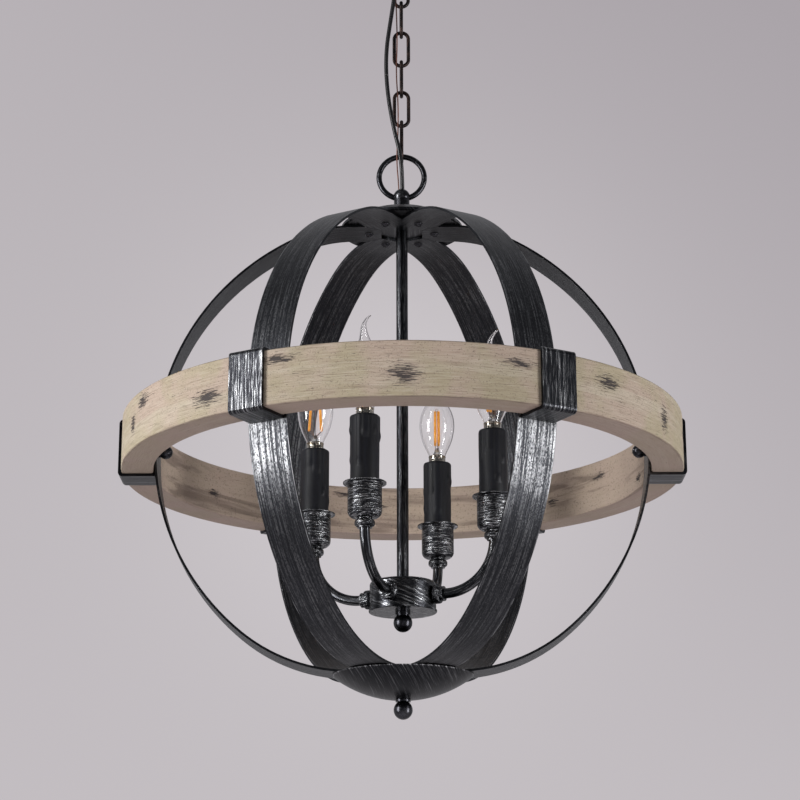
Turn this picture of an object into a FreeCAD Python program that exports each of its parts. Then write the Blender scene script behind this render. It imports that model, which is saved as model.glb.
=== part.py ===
import FreeCAD, Part
import Sketcher
import math
import os

# Orb chandelier hung on a chain: a wooden ring, six flat iron meridian straps and a cluster of
# four candle lights on a central rod. Every height below is measured from the underside of the
# wooden ring, in millimetres; each finished piece is then lowered by "ring_drop", so that the
# origin of the part is the centre of the ceiling bracket and the lamp hangs below it.

V = FreeCAD.Vector
Z_AXIS = V(0, 0, 1)

doc = FreeCAD.newDocument("OrbChandelier")
sheet = doc.addObject("Spreadsheet::Sheet", "Sizes")

SIZES = [
    # wooden ring
    ("ring_outer", 265.0, "outer radius"),
    ("ring_wall", 30.0, "ring thickness"),
    ("ring_tall", 50.0, "height"),
    ("ring_round", 1.8, "edge rounding"),
    # straps
    ("strap_wide", 40.0, "strap width"),
    ("strap_thick", 2.2, "strap thickness"),
    ("strap_play", 1.0, "clearance from strap to ring at its middle"),
    ("lower_draw", 4.0, "how much the lower arc is smaller than the upper"),
    ("roof_flat", 11.0, "how much the flat upper end lies below a full circle"),
    ("floor_flat", 19.6, "how much the flat lower end lies above a full circle"),
    ("roof_bend", 105.0, "radius where the upper flat eases in"),
    ("floor_bend", 150.0, "radius where the lower flat eases in"),
    ("strap_start", 20.0, "inner end of a strap"),
    ("screw_circle", 32.0, "radius of the end screws"),
    ("bolt_shank", 2.6, "clamp bolt shank radius"),
    ("bolt_play", 0.3, "clearance round a clamp bolt"),
    ("screw_shank", 2.1, "end screw shank radius"),
    ("screw_play", 0.3, "clearance round an end screw"),
    ("screw_dome", 5.2, "radius of a screw head's dome"),
    ("screw_head", 2.6, "screw head height"),
    ("cross_long", 4.4, "length of a cross recess"),
    ("cross_wide", 0.9, "width of a cross recess"),
    ("cross_deep", 1.0, "depth of a cross recess"),
    # clamps
    ("clamp_wide", 34.5, "clamp width"),
    ("clamp_thick", 2.6, "clamp plate thickness"),
    ("clamp_gap", 0.2, "clearance to the wood"),
    ("clamp_bend", 1.6, "inside bend radius"),
    ("bolt_ball", 6.6, "ball head radius"),
    ("bolt_neck", 4.95, "ball head neck radius"),
    ("bolt_cover", 8.0, "wood left outside a bolt's tip"),
    # top cap
    ("cap_rim", 59.5, "top cap radius"),
    ("cap_skirt", 2.5, "height of the cap's skirt"),
    ("cap_rise", 18.0, "height of the cap above its skirt"),
    ("shell", 1.5, "sheet thickness of cap and bowl"),
    ("plate_thick", 2.2, "plate thickness"),
    ("seat_play", 0.2, "clearance between pieces that rest on each other"),
    ("weld", 1.0, "how far the solids of one piece run into each other"),
    # bottom bowl
    ("bowl_rim", 65.3, "bowl radius"),
    ("bowl_deep", 22.0, "bowl depth"),
    # rod and hub
    ("rod_radius", 5.6, "rod radius"),
    ("rod_bore", 4.0, "rod bore radius"),
    ("rod_above", 8.0, "rod above the cap"),
    ("rod_thick_end", 7.0, "solid foot of the rod, down to its threaded end"),
    ("spigot", 4.0, "threaded end radius"),
    ("spigot_tail", 5.8, "threaded end below the hub cover"),
    ("spigot_bore", 2.6, "threaded end bore radius"),
    ("window_deep", 10.0, "depth of the wire window"),
    ("window_wide", 4.4, "width of the wire window in the threaded end"),
    ("window_tall", 9.0, "height of the wire window"),
    ("hub_radius", 31.0, "hub radius"),
    ("hub_below", 101.4, "hub top below the ring"),
    ("hub_tall", 26.8, "hub shell height"),
    ("hub_wall", 1.8, "hub wall"),
    ("hub_round", 3.5, "hub top edge radius"),
    ("cover_thick", 1.85, "hub cover thickness"),
    ("cover_lip", 0.9, "hub cover beyond the hub"),
    ("ball_radius", 8.8, "finial ball radius"),
    # arms
    ("arm_turn", -112.1, "direction of the nearest arm"),
    ("arm_drop", 14.1, "arm axis below the hub top"),
    ("arm_reach", 91.2, "radius of the candle axes"),
    ("arm_bend", 47.5, "arm bend radius"),
    ("arm_rise", 7.8, "straight rise from the bend to the cup"),
    ("arm_tube", 4.75, "arm tube radius"),
    ("arm_bore", 3.3, "arm bore radius"),
    ("arm_in", 6.0, "arm inside the hub"),
    ("collar_play", 0.1, "clearance between a collar and what it closes against"),
    ("bore_play", 0.15, "clearance round a tube in its hole"),
    ("drum_radius", 9.0, "arm collar radius"),
    ("drum_long", 7.3, "arm collar length"),
    ("drum_round", 2.4, "arm collar edge radius"),
    ("step_radius", 7.0, "radius of the step beyond the arm collar"),
    ("step_long", 3.2, "length of that step"),
    ("neck_radius", 9.3, "cup neck radius"),
    ("neck_tall", 9.2, "cup neck height with its steps"),
    ("neck_step", 6.8, "radius of the cup neck's steps"),
    ("neck_round", 2.6, "cup neck edge radius"),
    # candles
    ("cup_tall", 33.0, "cup height"),
    ("cup_radius", 15.65, "cup body radius"),
    ("cup_brim", 19.8, "cup brim radius"),
    ("cup_round", 6.2, "cup bottom edge radius"),
    ("cup_wall", 1.3, "cup wall"),
    ("brim_thick", 1.2, "brim thickness"),
    ("sleeve_radius", 13.1, "candle sleeve radius"),
    ("sleeve_wall", 1.5, "candle sleeve wall"),
    ("sleeve_tall", 63.2, "candle sleeve above the cup"),
    ("sleeve_mouth", 8.3, "candle sleeve mouth radius"),
    ("sleeve_round", 5.0, "candle shoulder height"),
    ("drip_radius", 2.3, "wax drip radius"),
    ("holder_play", 0.3, "clearance from lampholder to sleeve"),
    ("holder_lift", 9.2, "lampholder above the cup bottom"),
    ("arm_tail", 4.5, "arm end inside the lampholder"),
    ("holder_sink", 9.5, "lampholder below the sleeve top"),
    ("cap_long", 33.8, "bulb cap length below the sleeve top"),
    # bulbs
    ("cap_shell", 6.95, "bulb cap radius"),
    ("cap_play", 0.45, "clearance round the bulb cap"),
    ("collar_radius", 7.65, "bulb collar radius"),
    ("collar_tall", 6.4, "bulb collar height"),
    ("bulb_radius", 17.5, "bulb glass radius"),
    ("bulb_tall", 91.0, "bulb glass length"),
    ("bulb_wall", 0.9, "bulb glass wall"),
    ("glow_long", 31.0, "filament length"),
    # fixture loop
    ("loop_mean", 22.25, "loop centreline radius"),
    ("loop_wire", 2.75, "loop wire radius"),
    ("bead_above", 15.4, "bead centre above the neck's foot"),
    ("bead_radius", 8.2, "loop bead radius"),
    ("bead_sink", 1.75, "how far the loop's wire lies below the bead's centre"),
    ("neck_wall", 1.95, "loop neck wall"),
    ("flange_over", 2.3, "loop flange beyond the neck"),
    ("flange_tall", 1.6, "loop flange height"),
    ("cable_way", 4.3, "cable hole radius"),
    # chain
    ("link_wire", 1.8, "chain wire radius"),
    ("link_mean", 7.05, "chain link end centreline radius"),
    ("link_long", 36.6, "centre to centre of a link's ends"),
    ("link_first", 41.7, "the same for the lowest link"),
    ("link_play", 0.3, "clearance between links"),
    # ceiling fitting
    ("canopy_radius", 60.0, "canopy radius"),
    ("canopy_deep", 24.0, "canopy depth"),
    ("canopy_skirt", 5.0, "canopy skirt height"),
    ("canopy_wall", 1.2, "canopy wall"),
    ("canopy_floor", 18.0, "radius of the canopy's flat floor"),
    ("hook_mean", 12.5, "canopy loop centreline radius"),
    ("hook_wire", 2.5, "canopy loop wire radius"),
    ("hook_neck", 7.4, "canopy loop collar above its ring"),
    ("hook_collar", 7.5, "canopy loop collar radius"),
    ("bar_long", 104.0, "ceiling bar length"),
    ("bar_wide", 18.0, "ceiling bar width"),
    ("bar_thick", 2.4, "ceiling bar thickness"),
    ("bar_holes", 88.9, "ceiling bar hole spacing"),
    ("bar_hole", 2.4, "ceiling bar hole radius"),
    ("nipple", 5.0, "threaded tube radius"),
    # cords
    ("cable", 4.1, "power cable diameter"),
    ("ground", 1.3, "earth wire diameter"),
]
NUMBER = {}
for row, (alias, value, note) in enumerate(SIZES, start=1):
    sheet.set("A%d" % row, note)
    sheet.set("B%d" % row, repr(value))
    sheet.setAlias("B%d" % row, alias)
    NUMBER[alias] = value
doc.recompute()


class Dim:
    """A size with its number and the spreadsheet expression that gives it."""

    def __init__(self, value, text):
        self.value = value
        self.text = text

    def __add__(self, other):
        other = dim(other)
        return Dim(self.value + other.value, "(%s + %s)" % (self.text, other.text))

    def __sub__(self, other):
        other = dim(other)
        return Dim(self.value - other.value, "(%s - %s)" % (self.text, other.text))

    def __mul__(self, other):
        other = dim(other)
        return Dim(self.value * other.value, "(%s * %s)" % (self.text, other.text))

    def __truediv__(self, other):
        other = dim(other)
        return Dim(self.value / other.value, "(%s / %s)" % (self.text, other.text))

    def __neg__(self):
        return Dim(-self.value, "(0 - %s)" % self.text)

    __radd__ = __add__

    def __rsub__(self, other):
        return dim(other) - self

    __rmul__ = __mul__

    def __rtruediv__(self, other):
        return dim(other) / self


def dim(value):
    """Any number as a Dim."""
    if isinstance(value, Dim):
        return value
    return Dim(float(value), "(%.6f)" % value)


def root(value):
    """The square root of a Dim."""
    return Dim(math.sqrt(value.value), "sqrt(%s)" % value.text)


class Lookup:
    """Sizes by name, as Dims bound to the spreadsheet."""

    def __getattr__(self, alias):
        return Dim(NUMBER[alias], "%s.%s" % (sheet.Name, alias))


s = Lookup()
PIECES = []

# ---------------------------------------------------------------- heights that follow from the sizes

play = s.seat_play
ring_inner = s.ring_outer - s.ring_wall
globe_upper = ring_inner - s.strap_play
globe_lower = globe_upper - s.lower_draw
globe_mid = s.ring_tall / 2
strap_roof = globe_mid + globe_upper - s.roof_flat
strap_floor = globe_mid - globe_upper + s.floor_flat
plate_low = strap_roof + play
plate_high = plate_low + s.plate_thick
cap_low = plate_low + 0.8
cap_skirt = cap_low + s.cap_skirt
cap_top = cap_skirt + s.cap_rise
base_high = strap_floor - play
base_low = base_high - s.plate_thick
bowl_high = base_high + 0.1
bowl_low = bowl_high - s.bowl_deep
rod_top = cap_top + s.rod_above
hub_top = -s.hub_below
hub_low = hub_top - s.hub_tall
cover_high = hub_low - 0.15
cover_low = cover_high - s.cover_thick
spigot_low = cover_low - s.spigot_tail
arm_high = hub_top - s.arm_drop
cup_low = arm_high + s.arm_bend + s.arm_rise
cup_high = cup_low + s.cup_tall
sleeve_high = cup_high + s.sleeve_tall
holder_low = cup_low + s.holder_lift
holder_high = sleeve_high - s.holder_sink
arm_top = holder_low + s.arm_tail
cap_foot = sleeve_high - s.cap_long
collar_low = sleeve_high + play
collar_high = collar_low + s.collar_tall
neck_low = cap_top + 0.1
loop_neck = s.rod_radius + s.bore_play + s.neck_wall
bead_mid = neck_low + s.bead_above
loop_mid = bead_mid + s.loop_mean - s.bead_sink

# the chain: each link's lower and upper wire centre, from the lamp's loop to the canopy's
link_ends = []
chain_top = loop_mid + s.loop_mean - s.loop_wire + s.link_wire
for k in range(6):
    link_end = chain_top - s.link_wire * 2 - s.link_play
    chain_top = link_end + (s.link_first if k == 0 else s.link_long)
    link_ends.append(link_end)
hook_mid = chain_top - s.link_wire - s.hook_wire - s.link_play + s.hook_mean
canopy_low = hook_mid + s.hook_mean + s.hook_neck + 0.1
ring_drop = canopy_low + s.canopy_deep


def bind(obj, prop, value, unit="mm"):
    """Binds one property of an object to a size."""
    value = dim(value)
    obj.setExpression(prop, "(%s) * 1 %s" % (value.text, unit))


def publish(obj, name, turn=0.0, drop=True):
    """Names a finished sub-part and hangs it below the ceiling, turned about the lamp's axis."""
    obj.Label = name
    height = -ring_drop.value if drop else 0.0
    turn = dim(turn)
    obj.Placement = FreeCAD.Placement(V(0, 0, height), FreeCAD.Rotation(Z_AXIS, turn.value))
    if drop:
        bind(obj, "Placement.Base.z", -ring_drop)
    if turn.text.find(sheet.Name) >= 0:
        bind(obj, "Placement.Rotation.Angle", turn, "deg")
    PIECES.append(obj)
    return obj


# ---------------------------------------------------------------- sketches and bodies


def plane_of(body, role):
    """One of the body's own origin planes."""
    for item in body.Origin.OriginFeatures:
        if item.Role == role:
            return item
    raise ValueError(role)


def new_sketch(body, role, name):
    sketch = body.newObject("Sketcher::SketchObject", name)
    sketch.AttachmentSupport = [(plane_of(body, role), "")]
    sketch.MapMode = "FlatFace"
    return sketch


def arc_centre(start, end, radius, left):
    """The centre of an arc from start to end; left means that it lies left of the chord."""
    chord = end - start
    half = chord.Length / 2
    lift = math.sqrt(max(radius * radius - half * half, 0.0))
    normal = V(-chord.y, chord.x, 0)
    normal.normalize()
    side = 1.0 if left else -1.0
    return start + chord * 0.5 + normal * (lift * side)


def outline(sketch, points, arcs=None):
    """A closed outline through points of Dims; arcs maps a side to (radius, centre is left)."""
    arcs = arcs or {}
    places = [V(dim(x).value, dim(y).value, 0) for x, y in points]
    sides = []
    for i, start in enumerate(places):
        end = places[(i + 1) % len(places)]
        if i in arcs:
            radius, left = arcs[i]
            centre = arc_centre(start, end, radius.value, left)
            first = start if left else end
            last = end if left else start
            a0 = math.atan2(first.y - centre.y, first.x - centre.x)
            a1 = math.atan2(last.y - centre.y, last.x - centre.x)
            if a1 < a0:
                a1 += 2 * math.pi
            circle = Part.Circle(centre, Z_AXIS, radius.value)
            side = sketch.addGeometry(Part.ArcOfCircle(circle, a0, a1), False)
            sides.append((side, 1 if left else 2, 2 if left else 1))
        else:
            side = sketch.addGeometry(Part.LineSegment(start, end), False)
            sides.append((side, 1, 2))
    for i, (side, first, last) in enumerate(sides):
        follower, begin, _ = sides[(i + 1) % len(sides)]
        sketch.addConstraint(Sketcher.Constraint("Coincident", side, last, follower, begin))
    for i, (side, first, last) in enumerate(sides):
        for kind, value in (("DistanceX", points[i][0]), ("DistanceY", points[i][1])):
            value = dim(value)
            rule = Sketcher.Constraint(kind, -1, 1, side, first, value.value)
            number = sketch.addConstraint(rule)
            if value.text.find(sheet.Name) >= 0:
                bind(sketch, "Constraints[%d]" % number, value)
    for i in arcs:
        radius = arcs[i][0]
        number = sketch.addConstraint(Sketcher.Constraint("Radius", sides[i][0], radius.value))
        bind(sketch, "Constraints[%d]" % number, radius)


def ring_of(sketch, x, y, radius):
    """A circle placed and sized by Dims."""
    x, y, radius = dim(x), dim(y), dim(radius)
    circle = Part.Circle(V(x.value, y.value, 0), Z_AXIS, radius.value)
    side = sketch.addGeometry(circle, False)
    number = sketch.addConstraint(Sketcher.Constraint("Radius", side, radius.value))
    bind(sketch, "Constraints[%d]" % number, radius)
    for kind, value in (("DistanceX", x), ("DistanceY", y)):
        number = sketch.addConstraint(Sketcher.Constraint(kind, -1, 1, side, 3, value.value))
        if value.text.find(sheet.Name) >= 0:
            bind(sketch, "Constraints[%d]" % number, value)


def turned(name, points, arcs=None):
    """A body turned about the vertical axis from a closed outline of (radius, height)."""
    body = doc.addObject("PartDesign::Body", name + "_body")
    sketch = new_sketch(body, "XZ_Plane", name + "_profile")
    outline(sketch, points, arcs)
    spin = body.newObject("PartDesign::Revolution", name + "_turned")
    spin.Profile = sketch
    spin.ReferenceAxis = (sketch, ["V_Axis"])
    spin.Angle = 360.0
    doc.recompute()
    return body


def padded(name, role, points, arcs, width):
    """A body of one outline, as wide on both sides of its plane."""
    body = doc.addObject("PartDesign::Body", name + "_body")
    sketch = new_sketch(body, role, name + "_profile")
    outline(sketch, points, arcs)
    pad = body.newObject("PartDesign::Pad", name + "_pad")
    pad.Profile = sketch
    bind(pad, "Length", width)
    pad.Midplane = True
    doc.recompute()
    return body


def through(body, sketch, name):
    """A pocket cut through everything on both sides of its sketch."""
    before = body.Shape.Volume
    cut = body.newObject("PartDesign::Pocket", name)
    cut.Profile = sketch
    cut.Type = "ThroughAll"
    cut.Midplane = True
    doc.recompute()
    if cut.Shape.Volume > before - 0.01:
        raise RuntimeError(name + " cuts nothing")
    return cut


# ---------------------------------------------------------------- plain solids


def place(obj, x=0.0, y=0.0, z=0.0, rotation=None):
    """Places a solid, with its offsets bound to the sheet where they come from it."""
    x, y, z = dim(x), dim(y), dim(z)
    rotation = rotation or FreeCAD.Rotation()
    obj.Placement = FreeCAD.Placement(V(x.value, y.value, z.value), rotation)
    for prop, value in (("x", x), ("y", y), ("z", z)):
        if value.text.find(sheet.Name) >= 0:
            bind(obj, "Placement.Base." + prop, value)
    return obj


def cylinder(name, radius, low, high, x=0.0, y=0.0):
    """An upright cylinder between two heights."""
    obj = doc.addObject("Part::Cylinder", name)
    bind(obj, "Radius", radius)
    bind(obj, "Height", dim(high) - dim(low))
    return place(obj, x, y, low)


OUTWARD = FreeCAD.Rotation(V(0, 1, 0), 90)


def spoke(name, radius, near, far, height):
    """A cylinder that lies along +X between two radii."""
    obj = doc.addObject("Part::Cylinder", name)
    bind(obj, "Radius", radius)
    bind(obj, "Height", dim(far) - dim(near))
    return place(obj, near, 0.0, height, OUTWARD)


def ball(name, radius, x, y, z, rotation=None):
    """A ball, with its poles up and down unless it is turned."""
    obj = doc.addObject("Part::Sphere", name)
    bind(obj, "Radius", radius)
    return place(obj, x, y, z, rotation)


def block(name, x_size, y_size, z_size, x, y, z):
    """A box centred on x and y that stands on height z."""
    obj = doc.addObject("Part::Box", name)
    bind(obj, "Length", x_size)
    bind(obj, "Width", y_size)
    bind(obj, "Height", z_size)
    return place(obj, dim(x) - dim(x_size) / 2, dim(y) - dim(y_size) / 2, z)


def hoop(name, mean, wire, z, rotation, sweep=360.0):
    """A ring of round wire, or the part of one that starts at its own X axis."""
    obj = doc.addObject("Part::Torus", name)
    bind(obj, "Radius1", mean)
    bind(obj, "Radius2", wire)
    obj.Angle3 = sweep
    return place(obj, 0.0, 0.0, z, rotation)


def prism(name, across, low, high):
    """An upright hexagon, by its size across the flats."""
    obj = doc.addObject("Part::Prism", name)
    obj.Polygon = 6
    bind(obj, "Circumradius", dim(across) / math.sqrt(3.0))
    bind(obj, "Height", dim(high) - dim(low))
    return place(obj, 0.0, 0.0, low)


def fused(name, solids):
    obj = doc.addObject("Part::MultiFuse", name)
    obj.Shapes = solids
    obj.Refine = True
    return obj


def cut_from(name, base, tools):
    tool = tools[0] if len(tools) == 1 else fused(name + "_tools", tools)
    obj = doc.addObject("Part::Cut", name)
    obj.Base = base
    obj.Tool = tool
    return obj


def rounded(name, base, radius, edges):
    """Rounds the edges that a test picks."""
    doc.recompute()
    obj = doc.addObject("Part::Fillet", name)
    obj.Base = base
    picked = [i for i, e in enumerate(base.Shape.Edges, start=1) if edges(e)]
    obj.Edges = [(i, radius, radius) for i in picked]
    return obj


def group(name, members):
    obj = doc.addObject("Part::Compound", name)
    obj.Links = members
    return obj


# ---------------------------------------------------------------- wooden ring

corner = s.ring_round
bolt_seat = globe_upper - s.strap_thick - play
bolt_tip = s.ring_outer - s.bolt_cover
ring = turned("ring", [
    (ring_inner + corner, 0.0),
    (s.ring_outer - corner, 0.0),
    (s.ring_outer, corner),
    (s.ring_outer, s.ring_tall - corner),
    (s.ring_outer - corner, s.ring_tall),
    (ring_inner + corner, s.ring_tall),
    (ring_inner, s.ring_tall - corner),
    (ring_inner, corner),
], {1: (corner, True), 3: (corner, True), 5: (corner, True), 7: (corner, True)})
pilot_sketch = new_sketch(ring, "YZ_Plane", "ring_pilot_profile")
ring_of(pilot_sketch, 0.0, globe_mid, s.bolt_shank + s.bolt_play)
before = ring.Shape.Volume
pilot = ring.newObject("PartDesign::Pocket", "ring_pilot")
pilot.Profile = pilot_sketch
bind(pilot, "Length", bolt_tip + 1.0)
doc.recompute()
if pilot.Shape.Volume > before - 1.0:
    pilot.Reversed = True
    doc.recompute()
pilots = ring.newObject("PartDesign::PolarPattern", "ring_pilots")
pilots.Originals = [pilot]
pilots.Axis = (pilot_sketch, ["V_Axis"])
pilots.Angle = 360.0
pilots.Occurrences = 6
ring.Tip = pilots
doc.recompute()
publish(ring, "wood_ring")

# ---------------------------------------------------------------- straps
# A strap follows one meridian: a flat end, an easing bend, the upper arc, the lower arc, another
# easing bend and the lower flat end. The arcs meet in line, and the inner face is the same path
# set in by the thickness.

upper_rise = root(globe_upper * globe_upper - s.roof_bend * s.roof_bend)
upper_ease = (strap_roof - globe_mid - upper_rise) / (1.0 - upper_rise / globe_upper)
upper_flat = s.roof_bend - upper_ease * s.roof_bend / globe_upper
shift = globe_upper - globe_lower
lower_run = s.floor_bend - shift
lower_fall = root(globe_lower * globe_lower - lower_run * lower_run)
lower_ease = (globe_mid - lower_fall - strap_floor) / (1.0 - lower_fall / globe_lower)
lower_flat = s.floor_bend - lower_ease * lower_run / globe_lower
upper_in = 1.0 - s.strap_thick / globe_upper
lower_in = 1.0 - s.strap_thick / globe_lower
STRAP_POINTS = [
    (s.strap_start, strap_roof),
    (s.strap_start, strap_roof - s.strap_thick),
    (upper_flat, strap_roof - s.strap_thick),
    (s.roof_bend * upper_in, globe_mid + upper_rise * upper_in),
    (globe_upper - s.strap_thick, globe_mid),
    (shift + lower_run * lower_in, globe_mid - lower_fall * lower_in),
    (lower_flat, strap_floor + s.strap_thick),
    (s.strap_start, strap_floor + s.strap_thick),
    (s.strap_start, strap_floor),
    (lower_flat, strap_floor),
    (s.floor_bend, globe_mid - lower_fall),
    (globe_upper, globe_mid),
    (s.roof_bend, globe_mid + upper_rise),
    (upper_flat, strap_roof),
]
STRAP_ARCS = {
    2: (upper_ease - s.strap_thick, False),
    3: (globe_upper - s.strap_thick, False),
    4: (globe_lower - s.strap_thick, False),
    5: (lower_ease - s.strap_thick, False),
    9: (lower_ease, True),
    10: (globe_lower, True),
    11: (globe_upper, True),
    12: (upper_ease, True),
}
WEDGE = math.tan(math.radians(30.0))
WEDGE_GAP = 0.35
for k in range(6):
    name = "strap_%d" % (k + 1)
    strap = padded(name, "XZ_Plane", STRAP_POINTS, STRAP_ARCS, s.strap_wide)
    # both ends are trimmed to a sixth of the circle
    trim = new_sketch(strap, "XY_Plane", name + "_trim_profile")
    for side in (1.0, -1.0):
        far = s.strap_wide * 1.2
        outline(trim, [
            (0.0, far * side),
            (0.0, -WEDGE_GAP * side),
            (far / WEDGE + WEDGE_GAP / WEDGE, far * side),
        ])
    through(strap, trim, name + "_trim")
    screw = new_sketch(strap, "XY_Plane", name + "_screw_profile")
    ring_of(screw, s.screw_circle, 0.0, s.screw_shank + s.screw_play)
    through(strap, screw, name + "_screw")
    bolt = new_sketch(strap, "YZ_Plane", name + "_bolt_profile")
    ring_of(bolt, 0.0, globe_mid, s.bolt_shank + s.bolt_play)
    through(strap, bolt, name + "_bolt")
    publish(strap, name, 60.0 * k)

# ---------------------------------------------------------------- ring clamps
# A plate outside the wood with a leg above and a leg below it that reach in to the strap.

leg_high = s.ring_tall / 2 + s.clamp_gap
clamp_end = root(globe_upper * globe_upper - leg_high * leg_high) + 0.4
face = s.ring_outer + s.clamp_gap
inside = face - s.clamp_bend
low_leg = -s.clamp_gap
high_leg = s.ring_tall + s.clamp_gap
CLAMP_POINTS = [
    (clamp_end, low_leg - s.clamp_thick),
    (inside, low_leg - s.clamp_thick),
    (face + s.clamp_thick, low_leg + s.clamp_bend),
    (face + s.clamp_thick, high_leg - s.clamp_bend),
    (inside, high_leg + s.clamp_thick),
    (clamp_end, high_leg + s.clamp_thick),
    (clamp_end, high_leg),
    (inside, high_leg),
    (face, high_leg - s.clamp_bend),
    (face, low_leg + s.clamp_bend),
    (inside, low_leg),
    (clamp_end, low_leg),
]
CLAMP_ARCS = {
    1: (s.clamp_bend + s.clamp_thick, True),
    3: (s.clamp_bend + s.clamp_thick, True),
    7: (s.clamp_bend, False),
    9: (s.clamp_bend, False),
}
clamps = []
bolts = []
for k in range(6):
    turn = FreeCAD.Rotation(Z_AXIS, 60.0 * k)
    clamp = padded("clamp_%d" % (k + 1), "XZ_Plane", CLAMP_POINTS, CLAMP_ARCS, s.clamp_wide)
    clamp.Placement = FreeCAD.Placement(V(0, 0, 0), turn)
    clamps.append(clamp)
    tag = "bolt_%d" % (k + 1)
    bolt = fused(tag, [
        ball(tag + "_head", s.bolt_ball, bolt_seat - s.bolt_ball, 0.0, globe_mid, OUTWARD),
        spoke(tag + "_neck", s.bolt_neck, bolt_seat - s.bolt_ball, bolt_seat, globe_mid),
        spoke(tag + "_shank", s.bolt_shank, bolt_seat - s.weld, bolt_tip, globe_mid),
    ])
    bolt.Placement = FreeCAD.Placement(V(0, 0, 0), turn)
    bolts.append(bolt)
publish(group("clamps", clamps), "ring_clamps")
publish(group("bolts", bolts), "clamp_bolts")

# ---------------------------------------------------------------- top cap, its plate and screws

cap_sag = s.cap_rise
cap_arc = (s.cap_rim * s.cap_rim + cap_sag * cap_sag) / (cap_sag * 2)
cap_mid = cap_top - cap_arc
hole = s.rod_radius + 0.3
top_cap = turned("cap", [
    (hole, cap_mid + root(cap_arc * cap_arc - hole * hole)),
    (hole, cap_mid + root((cap_arc - s.shell) * (cap_arc - s.shell) - hole * hole)),
    (s.cap_rim - s.shell, cap_mid + root((cap_arc - s.shell) * (cap_arc - s.shell)
                                         - (s.cap_rim - s.shell) * (s.cap_rim - s.shell))),
    (s.cap_rim - s.shell, cap_low),
    (s.cap_rim, cap_low),
    (s.cap_rim, cap_skirt),
], {1: (cap_arc - s.shell, False), 5: (cap_arc, True)})
publish(top_cap, "top_cap")


def holed_plate(name, radius, low, high, centre_hole):
    """A round plate with a central hole and six screw holes."""
    holes = [cylinder(name + "_hub", centre_hole, dim(low) - 1.0, dim(high) + 1.0)]
    for k in range(6):
        angle = math.radians(60.0 * k)
        holes.append(cylinder("%s_hole_%d" % (name, k + 1), s.screw_shank + s.screw_play, dim(low) - 1.0,
                              dim(high) + 1.0, s.screw_circle * math.cos(angle),
                              s.screw_circle * math.sin(angle)))
    return cut_from(name, cylinder(name + "_disc", radius, low, high), holes)


publish(holed_plate("roof", s.cap_rim - s.shell - 0.3, plate_low, plate_high, hole), "top_plate")


def pan_screws(name, seat, down, length):
    """Six pan-head screws with cross recesses; down is 1 for heads that face down."""
    members = []
    for k in range(6):
        tag = "%s_%d" % (name, k + 1)
        angle = math.radians(60.0 * k)
        x = s.screw_circle * math.cos(angle)
        y = s.screw_circle * math.sin(angle)
        # a slice of a ball makes the pan head
        head_ball = ball(tag + "_ball", s.screw_dome, x, y, dim(seat) + (s.screw_dome - s.screw_head) * down)
        if down > 0:
            head_slab = cylinder(tag + "_slab", s.screw_dome + 1.0, dim(seat) - s.screw_dome, seat, x, y)
            shank = cylinder(tag + "_shank", s.screw_shank, seat, dim(seat) + length, x, y)
            cross_low = dim(seat) - s.screw_head - s.cross_deep
        else:
            head_slab = cylinder(tag + "_slab", s.screw_dome + 1.0, seat, dim(seat) + s.screw_dome, x, y)
            shank = cylinder(tag + "_shank", s.screw_shank, dim(seat) - length, seat, x, y)
            cross_low = dim(seat) + s.screw_head - s.cross_deep
        head = doc.addObject("Part::Common", tag + "_head")
        head.Base = head_ball
        head.Tool = head_slab
        slots = [
            block(tag + "_slot_a", s.cross_long, s.cross_wide, s.cross_deep * 2, x, y, cross_low),
            block(tag + "_slot_b", s.cross_wide, s.cross_long, s.cross_deep * 2, x, y, cross_low),
        ]
        members.append(cut_from(tag, fused(tag + "_body", [head, shank]), slots))
    return group(name, members)


publish(pan_screws("top_fixings", strap_roof - s.strap_thick - 0.1, 1, 6.2), "top_screws")
top_nut = cut_from("top_hexagon", prism("top_prism", 18.0, plate_high + 0.2, plate_high + 6.2),
                   [cylinder("top_nut_hole", s.rod_radius + 0.15, plate_high, plate_high + 7.0)])
publish(top_nut, "top_nut")

# ---------------------------------------------------------------- bottom bowl, plate and finial

bowl_sag = bowl_high - bowl_low
bowl_arc = (s.bowl_rim * s.bowl_rim + bowl_sag * bowl_sag) / (bowl_sag * 2)
bowl_mid = bowl_low + bowl_arc
stem = dim(3.2)
bowl_in = bowl_arc - s.shell
rim_in = root(bowl_in * bowl_in - (bowl_mid - bowl_high) * (bowl_mid - bowl_high))
bowl = turned("bowl", [
    (stem, bowl_mid - root(bowl_arc * bowl_arc - stem * stem)),
    (s.bowl_rim, bowl_high),
    (rim_in, bowl_high),
    (stem, bowl_mid - root(bowl_in * bowl_in - stem * stem)),
], {0: (bowl_arc, True), 2: (bowl_in, False)})
publish(bowl, "bottom_bowl")
base_edge = root(bowl_in * bowl_in - (bowl_mid - base_low) * (bowl_mid - base_low)) - 0.3
publish(holed_plate("floor", base_edge, base_low, base_high, stem), "bottom_plate")
publish(pan_screws("bottom_fixings", strap_floor + s.strap_thick + 0.1, -1, 5.6), "bottom_screws")
bowl_ball = bowl_low - s.ball_radius - 0.9
finial_low = fused("low_finial", [
    ball("low_ball", s.ball_radius, 0.0, 0.0, bowl_ball),
    cylinder("low_collar", 7.0, bowl_low - 2.2, bowl_low - 0.15),
    cylinder("low_neck", 4.6, bowl_ball, bowl_low - 1.0),
    cylinder("low_stem", 3.0, bowl_low - 1.0, base_high + 7.0),
])
publish(finial_low, "bottom_finial")
bottom_nut = cut_from("low_hexagon", prism("low_prism", 10.0, base_high + 0.1, base_high + 5.1),
                      [cylinder("low_nut_hole", stem, base_high, base_high + 6.0)])
publish(bottom_nut, "bottom_nut")

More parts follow.
